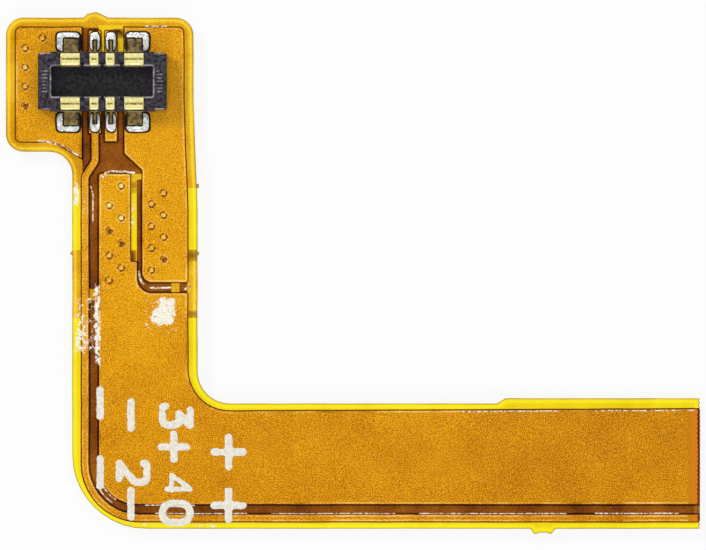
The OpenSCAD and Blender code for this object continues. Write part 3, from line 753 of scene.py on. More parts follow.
filmSet = [
    # Clear cover film with nothing behind it: the eye gets a bright lemon yellow
    filmMaterial("polyimideClear", "#e6bc02", "#f6da0c", "#fff01e", 0.16, 0.2),
    # The same film with the stiffener behind: deeper and browner
    filmMaterial("polyimideBacked", "#b87602", "#e0a006", "#ffd832", 0.24, 0.2),
    # Film over base film and back copper: a burnt brown
    filmMaterial("polyimideOverBackCopper", "#421a00", "#844404", "#b06a10", 0.3, 0.25),
    # Film pressed on copper: amber with the foil's grain, darker along the tail
    filmMaterial("polyimideOverCopper", "#7c4000", "#d08200", "#ffbe10", 0.6, 0.07, peel=0.35,
                 along=((1, -10.4, -5.0, 0.14), (0, 13.0, 3.0, 0.07))),
    # The copper's etched edge: a thin dark line through the film
    filmMaterial("polyimideAtCopperEdge", "#260e00", "#552a00", "#8e5804", 0.3, 0.35),
    # The same edge with back copper behind: near black
    filmMaterial("polyimideInGroove", "#180800", "#361600", "#6a3c08", 0.3, 0.4),
    # The pressed step just inside that edge, and the halo round each hole: a pale line of painted highlight
    filmMaterial("polyimidePaintedHighlight", "#a86000", "#eca024", "#ffd478", 0.5, 0.5),
    # Where the film dips into a plated hole: a dark ring of painted shade
    filmMaterial("polyimideHoleShade", "#4a2600", "#7a4602", "#a86c08", 0.25, 0.2),
    # Middle of the dip: a bright painted highlight
    filmMaterial("polyimideHoleHighlight", "#d89a1c", "#fcc440", "#ffec90", 0.3, 0.5),
    # The film's own cut edge: a thin olive line
    filmMaterial("polyimideCutEdge", "#7c6404", "#b49408", "#dcbe14", 0.2, 0.3),
    # The cut end, where the blade's heat turned the film orange
    filmMaterial("polyimideAtCut", "#905204", "#d08608", "#e27a0c", 0.36, 0.05,
                 along=((0, 14.66, 14.88, 0.45),)),
    # Windows in both coppers at the head: yellow with the board behind
    filmMaterial("polyimideWindow", "#d8a804", "#f4cc0c", "#ffe22c", 0.2, 0.2),
    # Painted glints beside the copper: broken white highlight over brown
    plainMaterial("polyimidePaintedGlint", "#9a5c10", "#fff6e0", 0.08, 0.3, detail=5.0, spread=0.06),
]
(zoneClear, zoneBacked, zoneBrown, zoneAmber, zoneEdge, zoneGroove, zoneGlint, zoneHoleShade, zoneHoleHighlight, zoneCut,
 zoneEnd, zoneWindow, zoneGlintLine) = range(len(filmSet))


# Liquid-crystal polymer, moulded: blue-black with a faint mould texture
plugPolymer = plainMaterial(
    "liquidCrystalPolymer", "#040306", "#46404c", 0.07, 0.45,
    bump=1.0, bumpSize=0.05, detail=5.0, spread=0.1, specular=0.3)
# The same polymer in the trough, painted darker for the shade that falls there, and duller
plugTroughShade = plainMaterial(
    "liquidCrystalPolymerShade", "#08070a", "#2e2a30", 0.07, 0.6,
    bump=0.8, bumpSize=0.06, detail=5.0, spread=0.12, specular=0.2)
# Its edges: a painted highlight, a pale grey line of light
plugEdgeHighlight = plainMaterial(
    "liquidCrystalPolymerHighlight", "#100e16", "#b8b0bc", 0.16, 0.35, bump=0.6, bumpSize=0.04)
# Gold flash over nickel: a pale, slightly worn yellow
goldPlating = plainMaterial(
    "goldFlash", "#f8e078", "#fffcc0", 0.07, 0.32, metallic=0.4, bump=0.25, bumpSize=0.04)
# Gold under a skin of flux: bronze
goldFluxed = plainMaterial(
    "goldUnderFlux", "#3a2c12", "#a89050", 0.09, 0.4, metallic=0.3, bump=0.5, bumpSize=0.04)
# The line worn across a cap by its mate: olive
goldWorn = plainMaterial(
    "goldWorn", "#3c3a10", "#c8b860", 0.035, 0.4, metallic=0.5, bump=0.6, bumpSize=0.02, spread=0.08)
# Tin-silver solder, reflowed: near white with a rippled skin
solderMetal = plainMaterial(
    "tinSilverSolder", "#d6d6d4", "#ffffff", 0.16, 0.25, metallic=0.25,
    bump=1.0, bumpSize=0.06, detail=2.0, vein="#1c1612", specular=0.8)
# Painted shade at the joints' rims and in the crease round each foot: dark, glassy brown
solderPaintedShade = plainMaterial("solderPaintedShade", "#040302", "#2a2018", 0.05, 0.3, specular=0.3)
# Screen-printed epoxy ink: chalky white, a little uneven
legendInk = plainMaterial("epoxyLegendInk", "#dcd8c8", "#fcf8ec", 0.05, 0.6, bump=0.6, bumpSize=0.025)
# Bonding sheet, cured acrylic adhesive: honey coloured
bondSheet = plainMaterial("acrylicBond", "#b08a28", "#d8b048", 0.1, 0.35)
# Rolled annealed copper, treated: dull salmon
copperFoil = plainMaterial("rolledCopper", "#b4683c", "#d08a58", 0.06, 0.4, metallic=1.0, bump=0.3)
# Pressed polyimide board: brown amber
polyimideBoard = plainMaterial("polyimideBoard", "#a8660c", "#c88418", 0.2, 0.35)

backing = {
    "headEnd": nodeBox("head_stiffener")[0].y,
    "armTop": nodeBox("arm_stiffener")[1].y,
    "armEnd": nodeBox("arm_stiffener")[0].y,
    "lines": (-0.045, -0.012, 0.0, 0.03, 0.05, 0.085),  # rings of points round each copper edge, mm
    "edgeLine": 0.03,  # width of the dark line round copper, mm
    "groove": 0.05,  # its width where back copper lies behind, mm
    "glint": (-0.045, -0.012),  # the painted highlight line inside the edge, mm
    "endTint": 0.3,  # length of the tinted cut end
    "endLine": 0.042,  # width of the burnt line at the cut
    "window": (-0.12, 0.5, 0.7, 1.42),  # x from, x to, y from, y to
    "flareRoom": 0.2,  # how far right of the arm the film still counts as backed
    "glareSoft": 0.14, "stainAndShadowSoft": 0.05,  # width of the faded edge of a painted glare patch, and of a stain-and-shadow patch
    "boxRadius": 0.03,
    "least": 0.004,  # how near to a copper's edge a point counts as on it
}
mainCorner = (mainLeft + nets["mainRadius"], mainBottom + nets["mainRadius"])
besideSense = senseY + 0.115


# Points round the main plane's big corner, between two angles in degrees
def cornerArc(radius, start, end):
    turn = np.radians(np.linspace(start, end, 9))
    return [(mainCorner[0] + radius * math.cos(t), mainCorner[1] + radius * math.sin(t)) for t in turn]


# Points and width of each painted glint line, a white highlight along a copper edge
glintLines = [
    ([(-1.62, -1.475), (-1.3, -1.5), (-1.0, -1.6), (-0.6, -1.85)], 0.05),
    ([(-0.02, -2.4), (0.06, -2.27), (0.2, -2.235), (0.52, -2.235), (0.8, -2.27)], 0.055),
    ([(0.905, -4.72), (0.92, -4.9), (0.98, -5.02), (1.05, -5.07)], 0.05),
    ([(1.15, -5.14), (1.4, -5.15), (1.72, -5.135)], 0.045),
    ([(2.04, -5.19), (2.19, -5.1)], 0.05),
    ([(-0.31, -2.6), (-0.25, -2.8), (-0.25, -3.5)], 0.03),
    ([(1.05, 1.4), (1.3, 1.385), (1.6, 1.4)], 0.04),
    (cornerArc(nets["mainRadius"] + 0.035, 192, 238), 0.035),
    (cornerArc(nets["mainRadius"] + 0.15, 205, 236), 0.03),
    ([(1.05, mainBottom - 0.03), (2.3, mainBottom - 0.03)], 0.03),
    ([(1.3, besideSense), (3.6, besideSense)], 0.025),
    ([(4.2, besideSense), (7.3, besideSense)], 0.022),
    ([(7.9, besideSense), (11.6, besideSense)], 0.025),
    ([(12.3, besideSense + 0.005), (14.4, besideSense + 0.005)], 0.03),
    ([(8.9, tailTopGap + 0.002), (11.4, tailTopGap + 0.015)], 0.03),
    ([(12.3, tailTopGap + 0.02), (14.8, tailTopGap + 0.03)], 0.025),
]
# Painted glare: white highlight patches on the film, each x from, x to, y from, y to, strength
glarePatches = [
    (1.2, 1.82, -6.08, -5.62, 0.7), (1.36, 1.83, -5.7, -5.38, 0.7), (0.98, 2.02, -6.35, -5.3, 0.42),
    (-0.25, -0.03, -7.1, -4.98, 0.6), (-0.76, -0.2, -6.8, -5.2, 0.45), (-0.74, -0.4, -6.9, -5.7, 0.54),
    (-0.77, -0.58, -3.15, -2.5, 0.62), (0.68, 0.82, -3.7, -2.85, 0.6), (-0.56, -0.38, -3.3, -2.7, 0.44),
    (-0.2, 0.25, -5.6, -4.95, 0.4), (0.9, 1.35, -11.16, -11.0, 0.5), (2.1, 3.0, -11.16, -11.02, 0.5),
]
glintLineLoops = [rounded(stroke([(x, y, 0.1) for x, y in line], w, 0.3 * w)) for line, w in glintLines]
# Dark patches, given as the glare patches are: cured adhesive by the window, and painted shadow where the
# stiffeners end
stainsAndShadows = [
    (0.27, 0.55, 1.1, 1.32, 1.0), (2.14, 2.34, -4.47, -4.2, 0.7), (2.14, 2.35, -5.88, -5.72, 0.65),
    (0.7, 0.81, -4.49, -4.22, 0.9), (0.7, 0.84, -2.78, -2.5, 0.45),
]


# The strongest box at each point, each fading over a soft edge
def boxField(xy, boxes, soft):
    out = np.zeros(len(xy))
    for *box, strength in boxes:
        out = np.maximum(out, strength * smooth(0.5 - insideOf(xy, *box) / soft))
    return out


# A loop round a box, given as a stain is
def boxLoop(x0, x1, y0, y1, wider=0.0):
    middle = (x0 + x1) / 2, (y0 + y1) / 2
    size = x1 - x0 + wider, y1 - y0 + wider
    return rounded(boxPath(*middle, *size, backing["boxRadius"] + wider / 2))


# Every line that the cover film's triangles have to follow
def coverLoops(side, own, otherLoops):
    def inward(share, step):
        return resampled(rounded(grown(filmPath, -share)), step)

    loops = [resampled(filmLoop, film["step"])]
    loops += [inward(film["lip"] * k, film["step"]) for k in film["lipRings"]]
    loops += [inward(d, film["shoulderStep"]) for d in film["shoulder"]]
    for path in own:
        loops += [resampled(rounded(grown(path, d)), film["netStep"]) for d in backing["lines"]]
    if side > 0:
        loops += [resampled(loop, film["behindStep"]) for loop in otherLoops]
        loops += [rounded(grown(p, plug["padClear"])) for p in pads]
    loops.append(resampled(slitLoop, film["step"]))
    if side > 0:
        loops += [resampled(loop, film["glintLineStep"]) for loop in glintLineLoops]
        loops.append(boxLoop(*backing["window"]))
        loops += [boxLoop(*stainAndShadow[:4], wider) for stainAndShadow in stainsAndShadows for wider in (0.0, backing["stainAndShadowSoft"])]
    return loops + [circle(x, y, r) for x, y in dimples for r in holes["rings"]]


# One cover film with its relief: over the front coppers (side 1) or the back ones (-1)
def makeCover(name, side):
    own = frontNets if side > 0 else backNets
    ownLoops, otherLoops = (frontLoops, backLoops)[::side]
    end = film["tailEnd"] - backing["endTint"]
    lines = [[(x, backing[key]) for x in film["armLine"]] for key in ("headEnd", "armTop", "armEnd")]
    lines.append([(end, y) for y in film["tailLine"]])
    grid = jitteredGrid(filmLoop, film["grid"], film["seed"])
    grid = grid[signedDistance(grid, filmLoop) < -1.5 * film["lip"]]
    far = np.min(np.hypot(grid[:, None, 0] - dimples[:, 0], grid[:, None, 1] - dimples[:, 1]), axis=1)
    grid = grid[(np.abs(nearest(grid, ownLoops)) > film["gridGap"]) & (far > holes["gridGap"])]
    xy, tris = triangulate(coverLoops(side, own, otherLoops), grid, filmLoop, lines)
    zone = pickZones(xy[tris].mean(1), side, ownLoops, otherLoops)
    xy, tris = compact(xy, tris)
    covered = nearest(xy, ownLoops) < backing["least"]
    if side < 0:
        covered &= signedDistance(xy, slitLoop) > -backing["least"]
    base = levels["front"] if side > 0 else levels["back"]
    low = np.where(covered, levels["copper"] - levels["front"], 0.0)
    verts, faces = sheet(wander(xy), tris, base + side * faceHeight(xy, side), base + side * low, side)
    marks = [*zone, *([zoneAmber] * len(tris)), *([zoneCut] * (len(faces) - 2 * len(tris)))]
    piece = makeMesh(name, verts, faces, filmSet, marks, film["sharp"])
    if side > 0:
        lit = film["shoulder"][1]
        fields = {
            "glare": boxField(xy, glarePatches, backing["glareSoft"]),
            "stainAndShadow": boxField(xy, stainsAndShadows, backing["stainAndShadowSoft"]),
            # Painted highlight on the border's rounded shoulder
            "rim": hill(-signedDistance(xy, filmLoop) - lit, lit / 2),
        }
        for key, value in fields.items():
            field = piece.data.attributes.new(key, "FLOAT", "POINT")
            field.data.foreach_set("value", np.concatenate([value, np.zeros(len(xy))]).astype(np.float32))
    return piece


# Which film each triangle shows. Later rows of the list lie over earlier ones
def pickZones(middle, side, ownLoops, otherLoops):
    gap = nearest(middle, ownLoops)
    behind = nearest(middle, otherLoops) < 0
    inward = -signedDistance(middle, filmLoop)
    fromEnd = film["tailEnd"] - middle[:, 0]
    backed = window = glint = crease = np.zeros(len(middle), bool)
    if side > 0:
        y = middle[:, 1]
        behind &= signedDistance(middle, slitLoop) > 0
        backed = (y > backing["headEnd"]) | ((y < backing["armTop"]) & (y > backing["armEnd"]))
        backed &= middle[:, 0] < film["armRight"] + backing["flareRoom"]
        window = backed & (insideOf(middle, *backing["window"]) < 0)
        glint = (gap > backing["glint"][0]) & (gap < backing["glint"][1])
        # Painted glint lines: the triangles inside them take the white highlight
        crease = nearest(middle, glintLineLoops) < 0
    else:
        gap = np.maximum(gap, -signedDistance(middle, slitLoop))
    burnt = (gap < backing["edgeLine"]) & (inward < backing["endLine"])
    zone = np.full(len(middle), zoneClear)
    for mask, value in (
        (backed, zoneBacked),
        (window, zoneWindow),
        (behind, zoneBrown),
        (inward < 0.5 * film["lip"], zoneCut),
        (behind & (gap < backing["groove"]), zoneGroove),
        (~behind & (gap < backing["edgeLine"]), zoneEdge),
        (gap < 0, zoneAmber),
        (glint, zoneGlint),
        ((gap < 0) & (fromEnd < backing["endTint"]), zoneEnd),
        (burnt & (fromEnd < 3 * backing["endLine"]), zoneEdge),
        (crease, zoneGlintLine),
    ):
        zone[mask] = value
    return holeZones(middle, zone)


# A middle of painted highlight, a ring of painted shade that is thick on the lower right, and a painted
# highlight halo round it
def holeZones(middle, zone):
    away = middle[:, None, :] - dimples
    far = np.hypot(away[..., 0], away[..., 1])
    nearby = far.argmin(1)
    rows = np.arange(len(middle))
    far, away = far[rows, nearby], away[rows, nearby]
    rng = np.random.default_rng(holes["seed"])
    turn = -math.pi / 4 + rng.uniform(-1, 1, len(dimples)) * holes["ringTurn"]
    filled = rng.uniform(size=len(dimples)) < holes["filled"]
    lean = np.cos(np.arctan2(away[:, 1], away[:, 0]) - turn[nearby])
    thin = np.where(lean < holes["thinFrom"], holes["rings"][2], holes["dark"])
    inner = np.where(lean > holes["thickFrom"], holes["rings"][1], thin)
    zone = np.where((far < holes["halo"]) & (zone == zoneAmber), zoneGlint, zone)
    zone = np.where((far < holes["dark"]) & (far > holes["core"]), zoneAmber, zone)
    zone = np.where((far < holes["dark"]) & (far > inner), zoneHoleShade, zone)
    return np.where(far < holes["core"], np.where(filled[nearby], zoneHoleShade, zoneHoleHighlight), zone)


topCover = place(makeCover("topCoverFilm", 1), "polyimide_film", "top_cover_film")
bottomCover = place(makeCover("bottomCoverFilm", -1), "polyimide_film", "bottom_cover_film")
print("cover films:", len(topCover.data.polygons), len(bottomCover.data.polygons), "faces")


# Quads between rings of points, each ring outside or below the one before
def loopFaces(count, rings, start=0):
    return [
        (b + i, b + (i + 1) % count, b - count + (i + 1) % count, b - count + i)
        for b in range(start + count, start + rings * count, count) for i in range(count)
    ]


def mirrored(faces, flip):
    return [f[::-1] for f in faces] if flip else faces


baseInset = 0.004  # mm, how far the base film stands back from the cover films


# Base film: a plain sheet under the coppers, which shows at the cut edges
def makeBaseFilm():
    outline = wander(resampled(rounded(grown(filmPath, -baseInset)), film["step"]))
    xy, tris = triangulate([outline], np.empty((0, 2)), outline)
    return makeMesh("baseFilm", *sheet(xy, tris, levels["front"], levels["back"]), [filmSet[zoneClear]])


place(makeBaseFilm(), "polyimide_film", "base_film")

# Plug housing
housing = {
    "notch": 0.035,  # how far the end blocks stand back from the long walls
    "notchX": 1.29,
    "corner": 0.05, "notchRun": 0.02, "notchRadius": 0.01,
    "edge": 0.03,  # bevel of the outer rim
    "leadIn": 0.045,  # chamfer into the trough
    "floorFillet": 0.03,
    "slotX": (-0.49, 0.0, 0.49),  # core slots between the contacts
    "slotWidth": 0.09, "slotReach": 0.1, "slotDepth": 0.16,
    "scratchX": (1.34, 1.5), "scratchPitch": 0.085, "scratches": 7,  # tool marks across each end block
    "scratchWidth": 0.03, "scratchDepth": 0.015, "scratchStray": 0.03,
    "seed": 4,
    "overlap": 0.05, "over": 0.1,  # how far a cutter reaches past the trough's wall and over the top
    "flat": 0.001,
    "sharp": 30.0,  # degrees, the least angle of a hard edge
}
troughY = wallY - plug["wall"]
wallTop = levels["top"] + nodeBox("plug_housing")[1].z - nodeBox("plug_housing")[0].z


def housingOutline():
    x, n = plug["length"] / 2, housing["notch"]
    notchX = housing["notchX"]
    run, r = housing["notchRun"], housing["notchRadius"]
    quarter = [(x, wallY - n, housing["corner"]), (notchX + run, wallY - n, r), (notchX, wallY, 2 * r)]
    top = quarter + [(-a, b, r) for a, b, r in quarter[::-1]]
    return top + [(-a, -b, r) for a, b, r in top]


outerFace, troughShadeFace, edgeHighlightFace = range(3)


# Which finish a face of the housing has: plain outer polymer, painted shade in the trough, painted highlight
# on the trough's rim
def housingZone(face, verts):
    x, y, z = np.mean([verts[i] for i in face], axis=0)
    heights = [verts[i][2] for i in face]
    level = max(heights) - min(heights) < housing["flat"]
    lip = housing["leadIn"]
    inTrough = abs(x) < plug["length"] / 2 - plug["end"] + lip and abs(y) < troughY + lip
    if not inTrough or (z > wallTop - housing["flat"] and level):
        return outerFace
    return edgeHighlightFace if z > wallTop - 1.3 * lip else troughShadeFace


def makeHousing():
    outer = housingOutline()
    well = boxPath(0, 0, plug["length"] - 2 * plug["end"], 2 * troughY, housing["corner"])
    e, c, f = housing["edge"], housing["leadIn"], housing["floorFillet"]
    low, floor = levels["top"], wallTop - plug["troughDepth"]
    wall = [(0, low), (0, wallTop - e), (-0.3 * e, wallTop - 0.35 * e),
            (-0.65 * e, wallTop - 0.1 * e), (-e, wallTop)]
    hole = [(c, wallTop), (0.3 * c, wallTop - 0.45 * c), (0, wallTop - 1.2 * c), (0, floor + f),
            (-0.3 * f, floor + 0.3 * f), (-f, floor)]
    verts, faces, shown = [], [], []
    for path, profile, isOuter in ((outer, wall, True), (well, hole, False)):
        rings = [cornerRing(path, d) for d, _ in profile]
        count, start = len(rings[0]), len(verts)
        verts += [(*spot, z) for ring, (_, z) in zip(rings, profile) for spot in ring]
        faces += mirrored(loopFaces(count, len(rings), start), isOuter)
        closing = start if isOuter else len(verts) - count
        faces += mirrored([tuple(range(closing, closing + count))], isOuter)
        shown.append(rings[-1] if isOuter else rings[0])
    rim, mouth = shown
    xy, tris = triangulate([rim, mouth], np.empty((0, 2)), rim)
    tris = tris[signedDistance(xy[tris].mean(1), mouth) > 0]
    first = (len(wall) - 1) * len(rim)
    faces += [tuple(first + i for i in t) for t in tris]
    marks = [housingZone(face, verts) for face in faces]
    finishes = [plugPolymer, plugTroughShade, plugEdgeHighlight]
    piece = makeMesh("plugHousing", verts, faces, finishes, marks, housing["sharp"])
    tidyNormals(piece)
    cutSlots(piece)
    return piece


def shadeBySharpness(data):
    data.shade_smooth()
    data.set_sharp_from_angle(angle=math.radians(housing["sharp"]))


def tidyNormals(piece):
    mesh = bmesh.new()
    mesh.from_mesh(piece.data)
    bmesh.ops.remove_doubles(mesh, verts=mesh.verts, dist=1e-8)
    bmesh.ops.recalc_face_normals(mesh, faces=mesh.faces)
    mesh.to_mesh(piece.data)
    mesh.free()
    shadeBySharpness(piece.data)


def addBox(mesh, low, high):
    centre, size = (Vector(low) + Vector(high)) / 2, Vector(high) - Vector(low)
    for v in bmesh.ops.create_cube(mesh, size=1.0)["verts"]:
        v.co = (centre + Vector(a * b for a, b in zip(v.co, size))) * metre


# Cuts the mould's core slots between the contacts, and the tool marks on the end blocks
def cutSlots(piece):
    mesh = bmesh.new()
    over, stray = wallTop + housing["over"], housing["scratchStray"]
    w, half = housing["slotWidth"] / 2, housing["scratchWidth"] / 2
    for x in housing["slotX"]:
        for row in (-1, 1):
            ys = sorted((row * (troughY - housing["overlap"]), row * (troughY + housing["slotReach"])))
            addBox(mesh, (x - w, ys[0], wallTop - housing["slotDepth"]), (x + w, ys[1], over))
    rng = np.random.default_rng(housing["seed"])
    for way in (-1, 1):
        for i in range(housing["scratches"]):
            y = (i - (housing["scratches"] - 1) / 2) * housing["scratchPitch"]
            x0, x1 = sorted(way * (x + rng.uniform(-stray, stray)) for x in housing["scratchX"])
            addBox(mesh, (x0, y - half, wallTop - housing["scratchDepth"]), (x1, y + half, over))
    data = bpy.data.meshes.new("slotCutter")
    mesh.to_mesh(data)
    mesh.free()
    cutter = addObject("slotCutter", data)
    cut = piece.modifiers.new("slots", "BOOLEAN")
    cut.operation = "DIFFERENCE"
    cut.solver = "EXACT"
    cut.object = cutter
    applyModifiers(piece)
    bpy.data.objects.remove(cutter)
    # The tool marks' faces take the painted highlight too
    near, far = housing["scratchX"]
    for face in piece.data.polygons:
        spot = face.center / metre
        marked = wallTop - 1.5 * housing["scratchDepth"] < spot.z < wallTop - housing["flat"]
        if marked and near - 0.01 - stray < abs(spot.x) < far + 0.01 + stray:
            face.material_index = edgeHighlightFace


def applyModifiers(piece):
    graph = bpy.context.evaluated_depsgraph_get()
    graph.update()
    data = bpy.data.meshes.new_from_object(piece.evaluated_get(graph))
    piece.modifiers.clear()
    piece.data = data
    shadeBySharpness(data)


place(makeHousing(), "plug_polymer", "plug_housing")
print("housing done")

# Contacts: one strip each, from the foot up the wall, over it and down into the trough
contact = {
    "proud": 0.004,  # how far a strip stands out of the wall's face
    "corner": 0.016,
    "across": 8,  # points across the strip
    "step": 0.03,  # spacing of the points along it
    "bendSteps": 6,
    "widenFrom": 0.16, "widenTo": 0.24,  # heights above the film between which the foot widens
    "tipWidth": 0.97, "tipHeight": 0.7,  # the strip's cut ends, as shares of its section
    "dimple": 0.016,  # depth of the worn line across the cap
    "dimpleWidth": 0.032,
    "dimpleLand": 0.06,  # what is left of the cap at each end of that line
    "broad": 0.3,  # a narrower strip leaves less
    "capDepth": 0.1, "wornDepth": 0.02,  # how far below the wall's top the cap and its worn face reach
    "fluxHeight": 0.12,  # how far up the foot flux lies
    "sharp": 50.0,
}


def contactLine():
    half, r = plug["strip"] / 2, plug["bend"]
    out, inner = wallY - half + contact["proud"], troughY + half - contact["proud"]
    low, high = levels["top"] + half, wallTop + plug["proud"] - half
    bends = [(out, low, r), (out, high, r), (inner, high, r)]
    line = [(wallY + plug["foot"], low, 0), *bends, (inner, wallTop - plug["blade"], 0)]
    return resampled(bentLine(line, contact["bendSteps"]), contact["step"], closed=False)


# Points round the strip's section: across its width, and up through its thickness
def stripSection(width):
    w, h, c = width / 2, plug["strip"] / 2, contact["corner"]
    corner = [(c * (1 - math.cos(t)), c * (1 - math.sin(t))) for t in (0.0, math.pi / 4, math.pi / 2)]
    top = [(u, h) for u in np.linspace(w - c, -w + c, contact["across"])]
    left = [(-w + a, h - b) for a, b in corner[-2::-1]] + [(-w + a, -h + b) for a, b in corner[:-1]]
    half = top + left
    return half + [(-u, -v) for u, v in half]


platedFace, fluxedFace, wornFace = range(3)


def makeContact(kind, i, way, row):
    line, middle = contactLine(), (wallY + troughY) / 2
    x, width, footWidth = way * plug[kind + "X"], plug[kind + "Width"], plug[kind + "Foot"]
    verts = []
    for k, (y, z) in enumerate(line):
        along = unit(line[min(k + 1, len(line) - 1)] - line[max(k - 1, 0)])
        normal = np.array([along[1], -along[0]])
        climb = (z - levels["top"] - contact["widenFrom"]) / (contact["widenTo"] - contact["widenFrom"])
        share = 1.0 if y < wallY - plug["strip"] else float(smooth(climb))
        w = footWidth + (width - footWidth) * share
        cap = normal[1] > 0.9 and z > wallTop - contact["capDepth"]
        land = w / 2 - contact["dimpleLand"] * min(1, w / contact["broad"])
        section = stripSection(w)
        for u, v in section:
            if k in (0, len(line) - 1):
                u, v = u * contact["tipWidth"], v * contact["tipHeight"]
            worn = contact["dimple"] * hill(y - middle, contact["dimpleWidth"])
            v -= worn if cap and v > 0 and abs(u) < land else 0.0
            verts.append((x + u, row * (y + normal[0] * v), z + normal[1] * v))
    count = len(section)
    faces = loopFaces(count, len(line))
    faces += [tuple(range(count)), tuple(range(len(verts) - count, len(verts)))[::-1]]
    marks = []
    for face in faces:
        fx, fy, fz = np.mean([verts[j] for j in face], axis=0)
        worn = abs(abs(fy) - middle) < 0.7 * contact["dimpleWidth"] and fz > wallTop - contact["wornDepth"]
        worn = worn and abs(fx - x) < width / 2 - 0.5 * contact["dimpleLand"]
        fluxed = fz < levels["top"] + contact["fluxHeight"] and abs(fy) > wallY - 0.02
        marks.append(wornFace if worn else fluxedFace if fluxed else platedFace)
    metals = [goldPlating, goldFluxed, goldWorn]
    piece = makeMesh(f"{kind}Contact{i}", verts, faces, metals, marks, contact["sharp"])
    tidyNormals(piece)
    return piece


places = [(-1, 1), (1, 1), (-1, -1), (1, -1)]
for i, (way, row) in enumerate(places, 1):
    for kind in ("power", "signal"):
        place(makeContact(kind, i, way, row), "gold_plating", f"{kind}_contact_{i}")
print("contacts done")

# Solder: uneven, bright joints drawn up round each foot, with painted shade at their rims and in their
# creases
joint = {
    "rise": 0.085,
    "bulge": 0.022,  # how far it spreads past its opening
    "rings": 15, "spokes": 64,
    "crowd": 0.8,  # below 1 its rings crowd towards the rim
    "powerSquare": 5.0, "signalSquare": 3.2,  # how square its outline is
    "ragged": 0.035,  # how far the outline strays, as a share
    "domePower": 5,  # how flat its top is
    "waves": range(2, 9),  # how many waves go round that outline
    "lump": 0.026,  # unevenness
    "lumpSize": 0.13,
    "fineShare": 0.4, "fineRatio": 2.7,  # smaller lumps: how high, and how many times smaller
    "lumpRim": 4,  # how steeply the lumps fade towards the rim
    "skirt": 0.012,  # how far below the film's top its rim starts
    "draw": 0.06,  # how far off the foot it begins to climb
    "over": 0.004,  # how far above the foot's top it climbs
    "lapFrom": 0.012, "lap": 0.02,  # where it dives under the foot's edge
    "footSink": 0.022,  # how far below the foot's face the solder's own surface passes under it
    "powerCover": 0.0, "signalCover": 0.042,  # how far it creeps over the foot's edges
    "crease": 0.065,  # width of the painted dark line round the foot
    "creaseFrom": 0.006,
    "rim": 0.85,  # share of the reach past which the painted dark rim shows
    "base": 0.98,  # width of its underside, as a share
    "bed": 0.004,  # how far that lies above the copper
    "powerSeed": 10, "signalSeed": 20,
    "sharp": 60.0,
}


def makeSolder(kind, i, way, row):
    x, contactX = way * plug[kind + "PadX"], way * plug[kind + "X"]
    cover, power = joint[kind + "Cover"], joint[kind + "Square"]
    n, rings = joint["spokes"], joint["rings"]
    seed = joint[kind + "Seed"] + i
    rng = np.random.default_rng(seed)
    middle = padY + plug["padLength"] / 2
    halfX, halfY = plug[kind + "Pad"] / 2 + joint["bulge"], plug["padLength"] / 2 + joint["bulge"]
    angle = np.linspace(0, 2 * math.pi, n, endpoint=False)
    reach = (np.abs(np.cos(angle) / halfX) ** power + np.abs(np.sin(angle) / halfY) ** power) ** (-1 / power)
    wobble = sum(rng.uniform(-1, 1) * np.cos(k * angle + rng.uniform(0, 6.28)) / k for k in joint["waves"])
    reach = reach * (1 + joint["ragged"] * wobble)
    share = np.linspace(0, 1, rings + 1)[:0:-1] ** joint["crowd"]
    spokes = np.column_stack([reach * np.cos(angle), reach * np.sin(angle)])
    where = np.vstack([*(spokes * s for s in share), np.zeros((1, 2))]) + [x, middle]
    far = np.append(np.repeat(share, n), 0.0)
    footTop = levels["top"] + plug["strip"]
    half = plug[kind + "Foot"] / 2 - cover
    toFoot = insideOf(where, contactX - half, contactX + half, wallY - 0.1, wallY + plug["foot"] - cover)
    dome = joint["rise"] * np.sqrt(np.clip(1 - far ** joint["domePower"], 0, 1))
    lumps = joint["lump"] * softNoise(where, joint["lumpSize"], seed * 1.7)
    fine = softNoise(where, joint["lumpSize"] / joint["fineRatio"], seed * 2.3)
    lumps += joint["fineShare"] * joint["lump"] * fine
    height = levels["top"] - joint["skirt"] + dome + lumps * smooth((1 - far) * joint["lumpRim"])
    climb = footTop + joint["over"] + (0.5 * cover)
    height = height + (np.maximum(climb, height) - height) * hill(np.maximum(toFoot, 0), joint["draw"])
    dip = smooth((joint["lapFrom"] - toFoot) / joint["lap"])
    height = height * (1 - dip) + (footTop - joint["footSink"]) * dip
    baseX = where[:n, 0] * joint["base"] + x * (1 - joint["base"])
    verts = np.vstack([
        np.column_stack([where[:, 0], row * where[:, 1], height]),
        np.column_stack([baseX, row * where[:n, 1], np.full(n, levels["copper"] + joint["bed"])]),
    ])
    tip = rings * n
    after = [(k + 1) % n for k in range(n)]
    faces = [
        (a + k, a + after[k], a + n + after[k], a + n + k) for a in range(0, tip - n, n) for k in range(n)
    ]
    faces += [(tip - n + k, tip - n + after[k], tip) for k in range(n)]
    # Faces at the rim and along the crease round the foot take the painted shade
    gaps = [abs(toFoot[list(f)].mean() - joint["creaseFrom"]) for f in faces]
    marks = [int(far[list(f)].mean() > joint["rim"] or g < joint["crease"] / 2) for f, g in zip(faces, gaps)]
    low = tip + 1
    faces += [(low + k, low + after[k], after[k], k) for k in range(n)]
    faces.append(tuple(range(low, low + n))[::-1])
    marks += [1] * (n + 1)
    faces = mirrored(faces, row < 0)
    return makeMesh(f"{kind}Solder{i}", verts, faces, [solderMetal, solderPaintedShade], marks, joint["sharp"])


for i, (way, row) in enumerate(places, 1):
    for kind in ("power", "signal"):
        place(makeSolder(kind, i, way, row), "solder", f"{kind}_solder_{i}")
print("solder done")

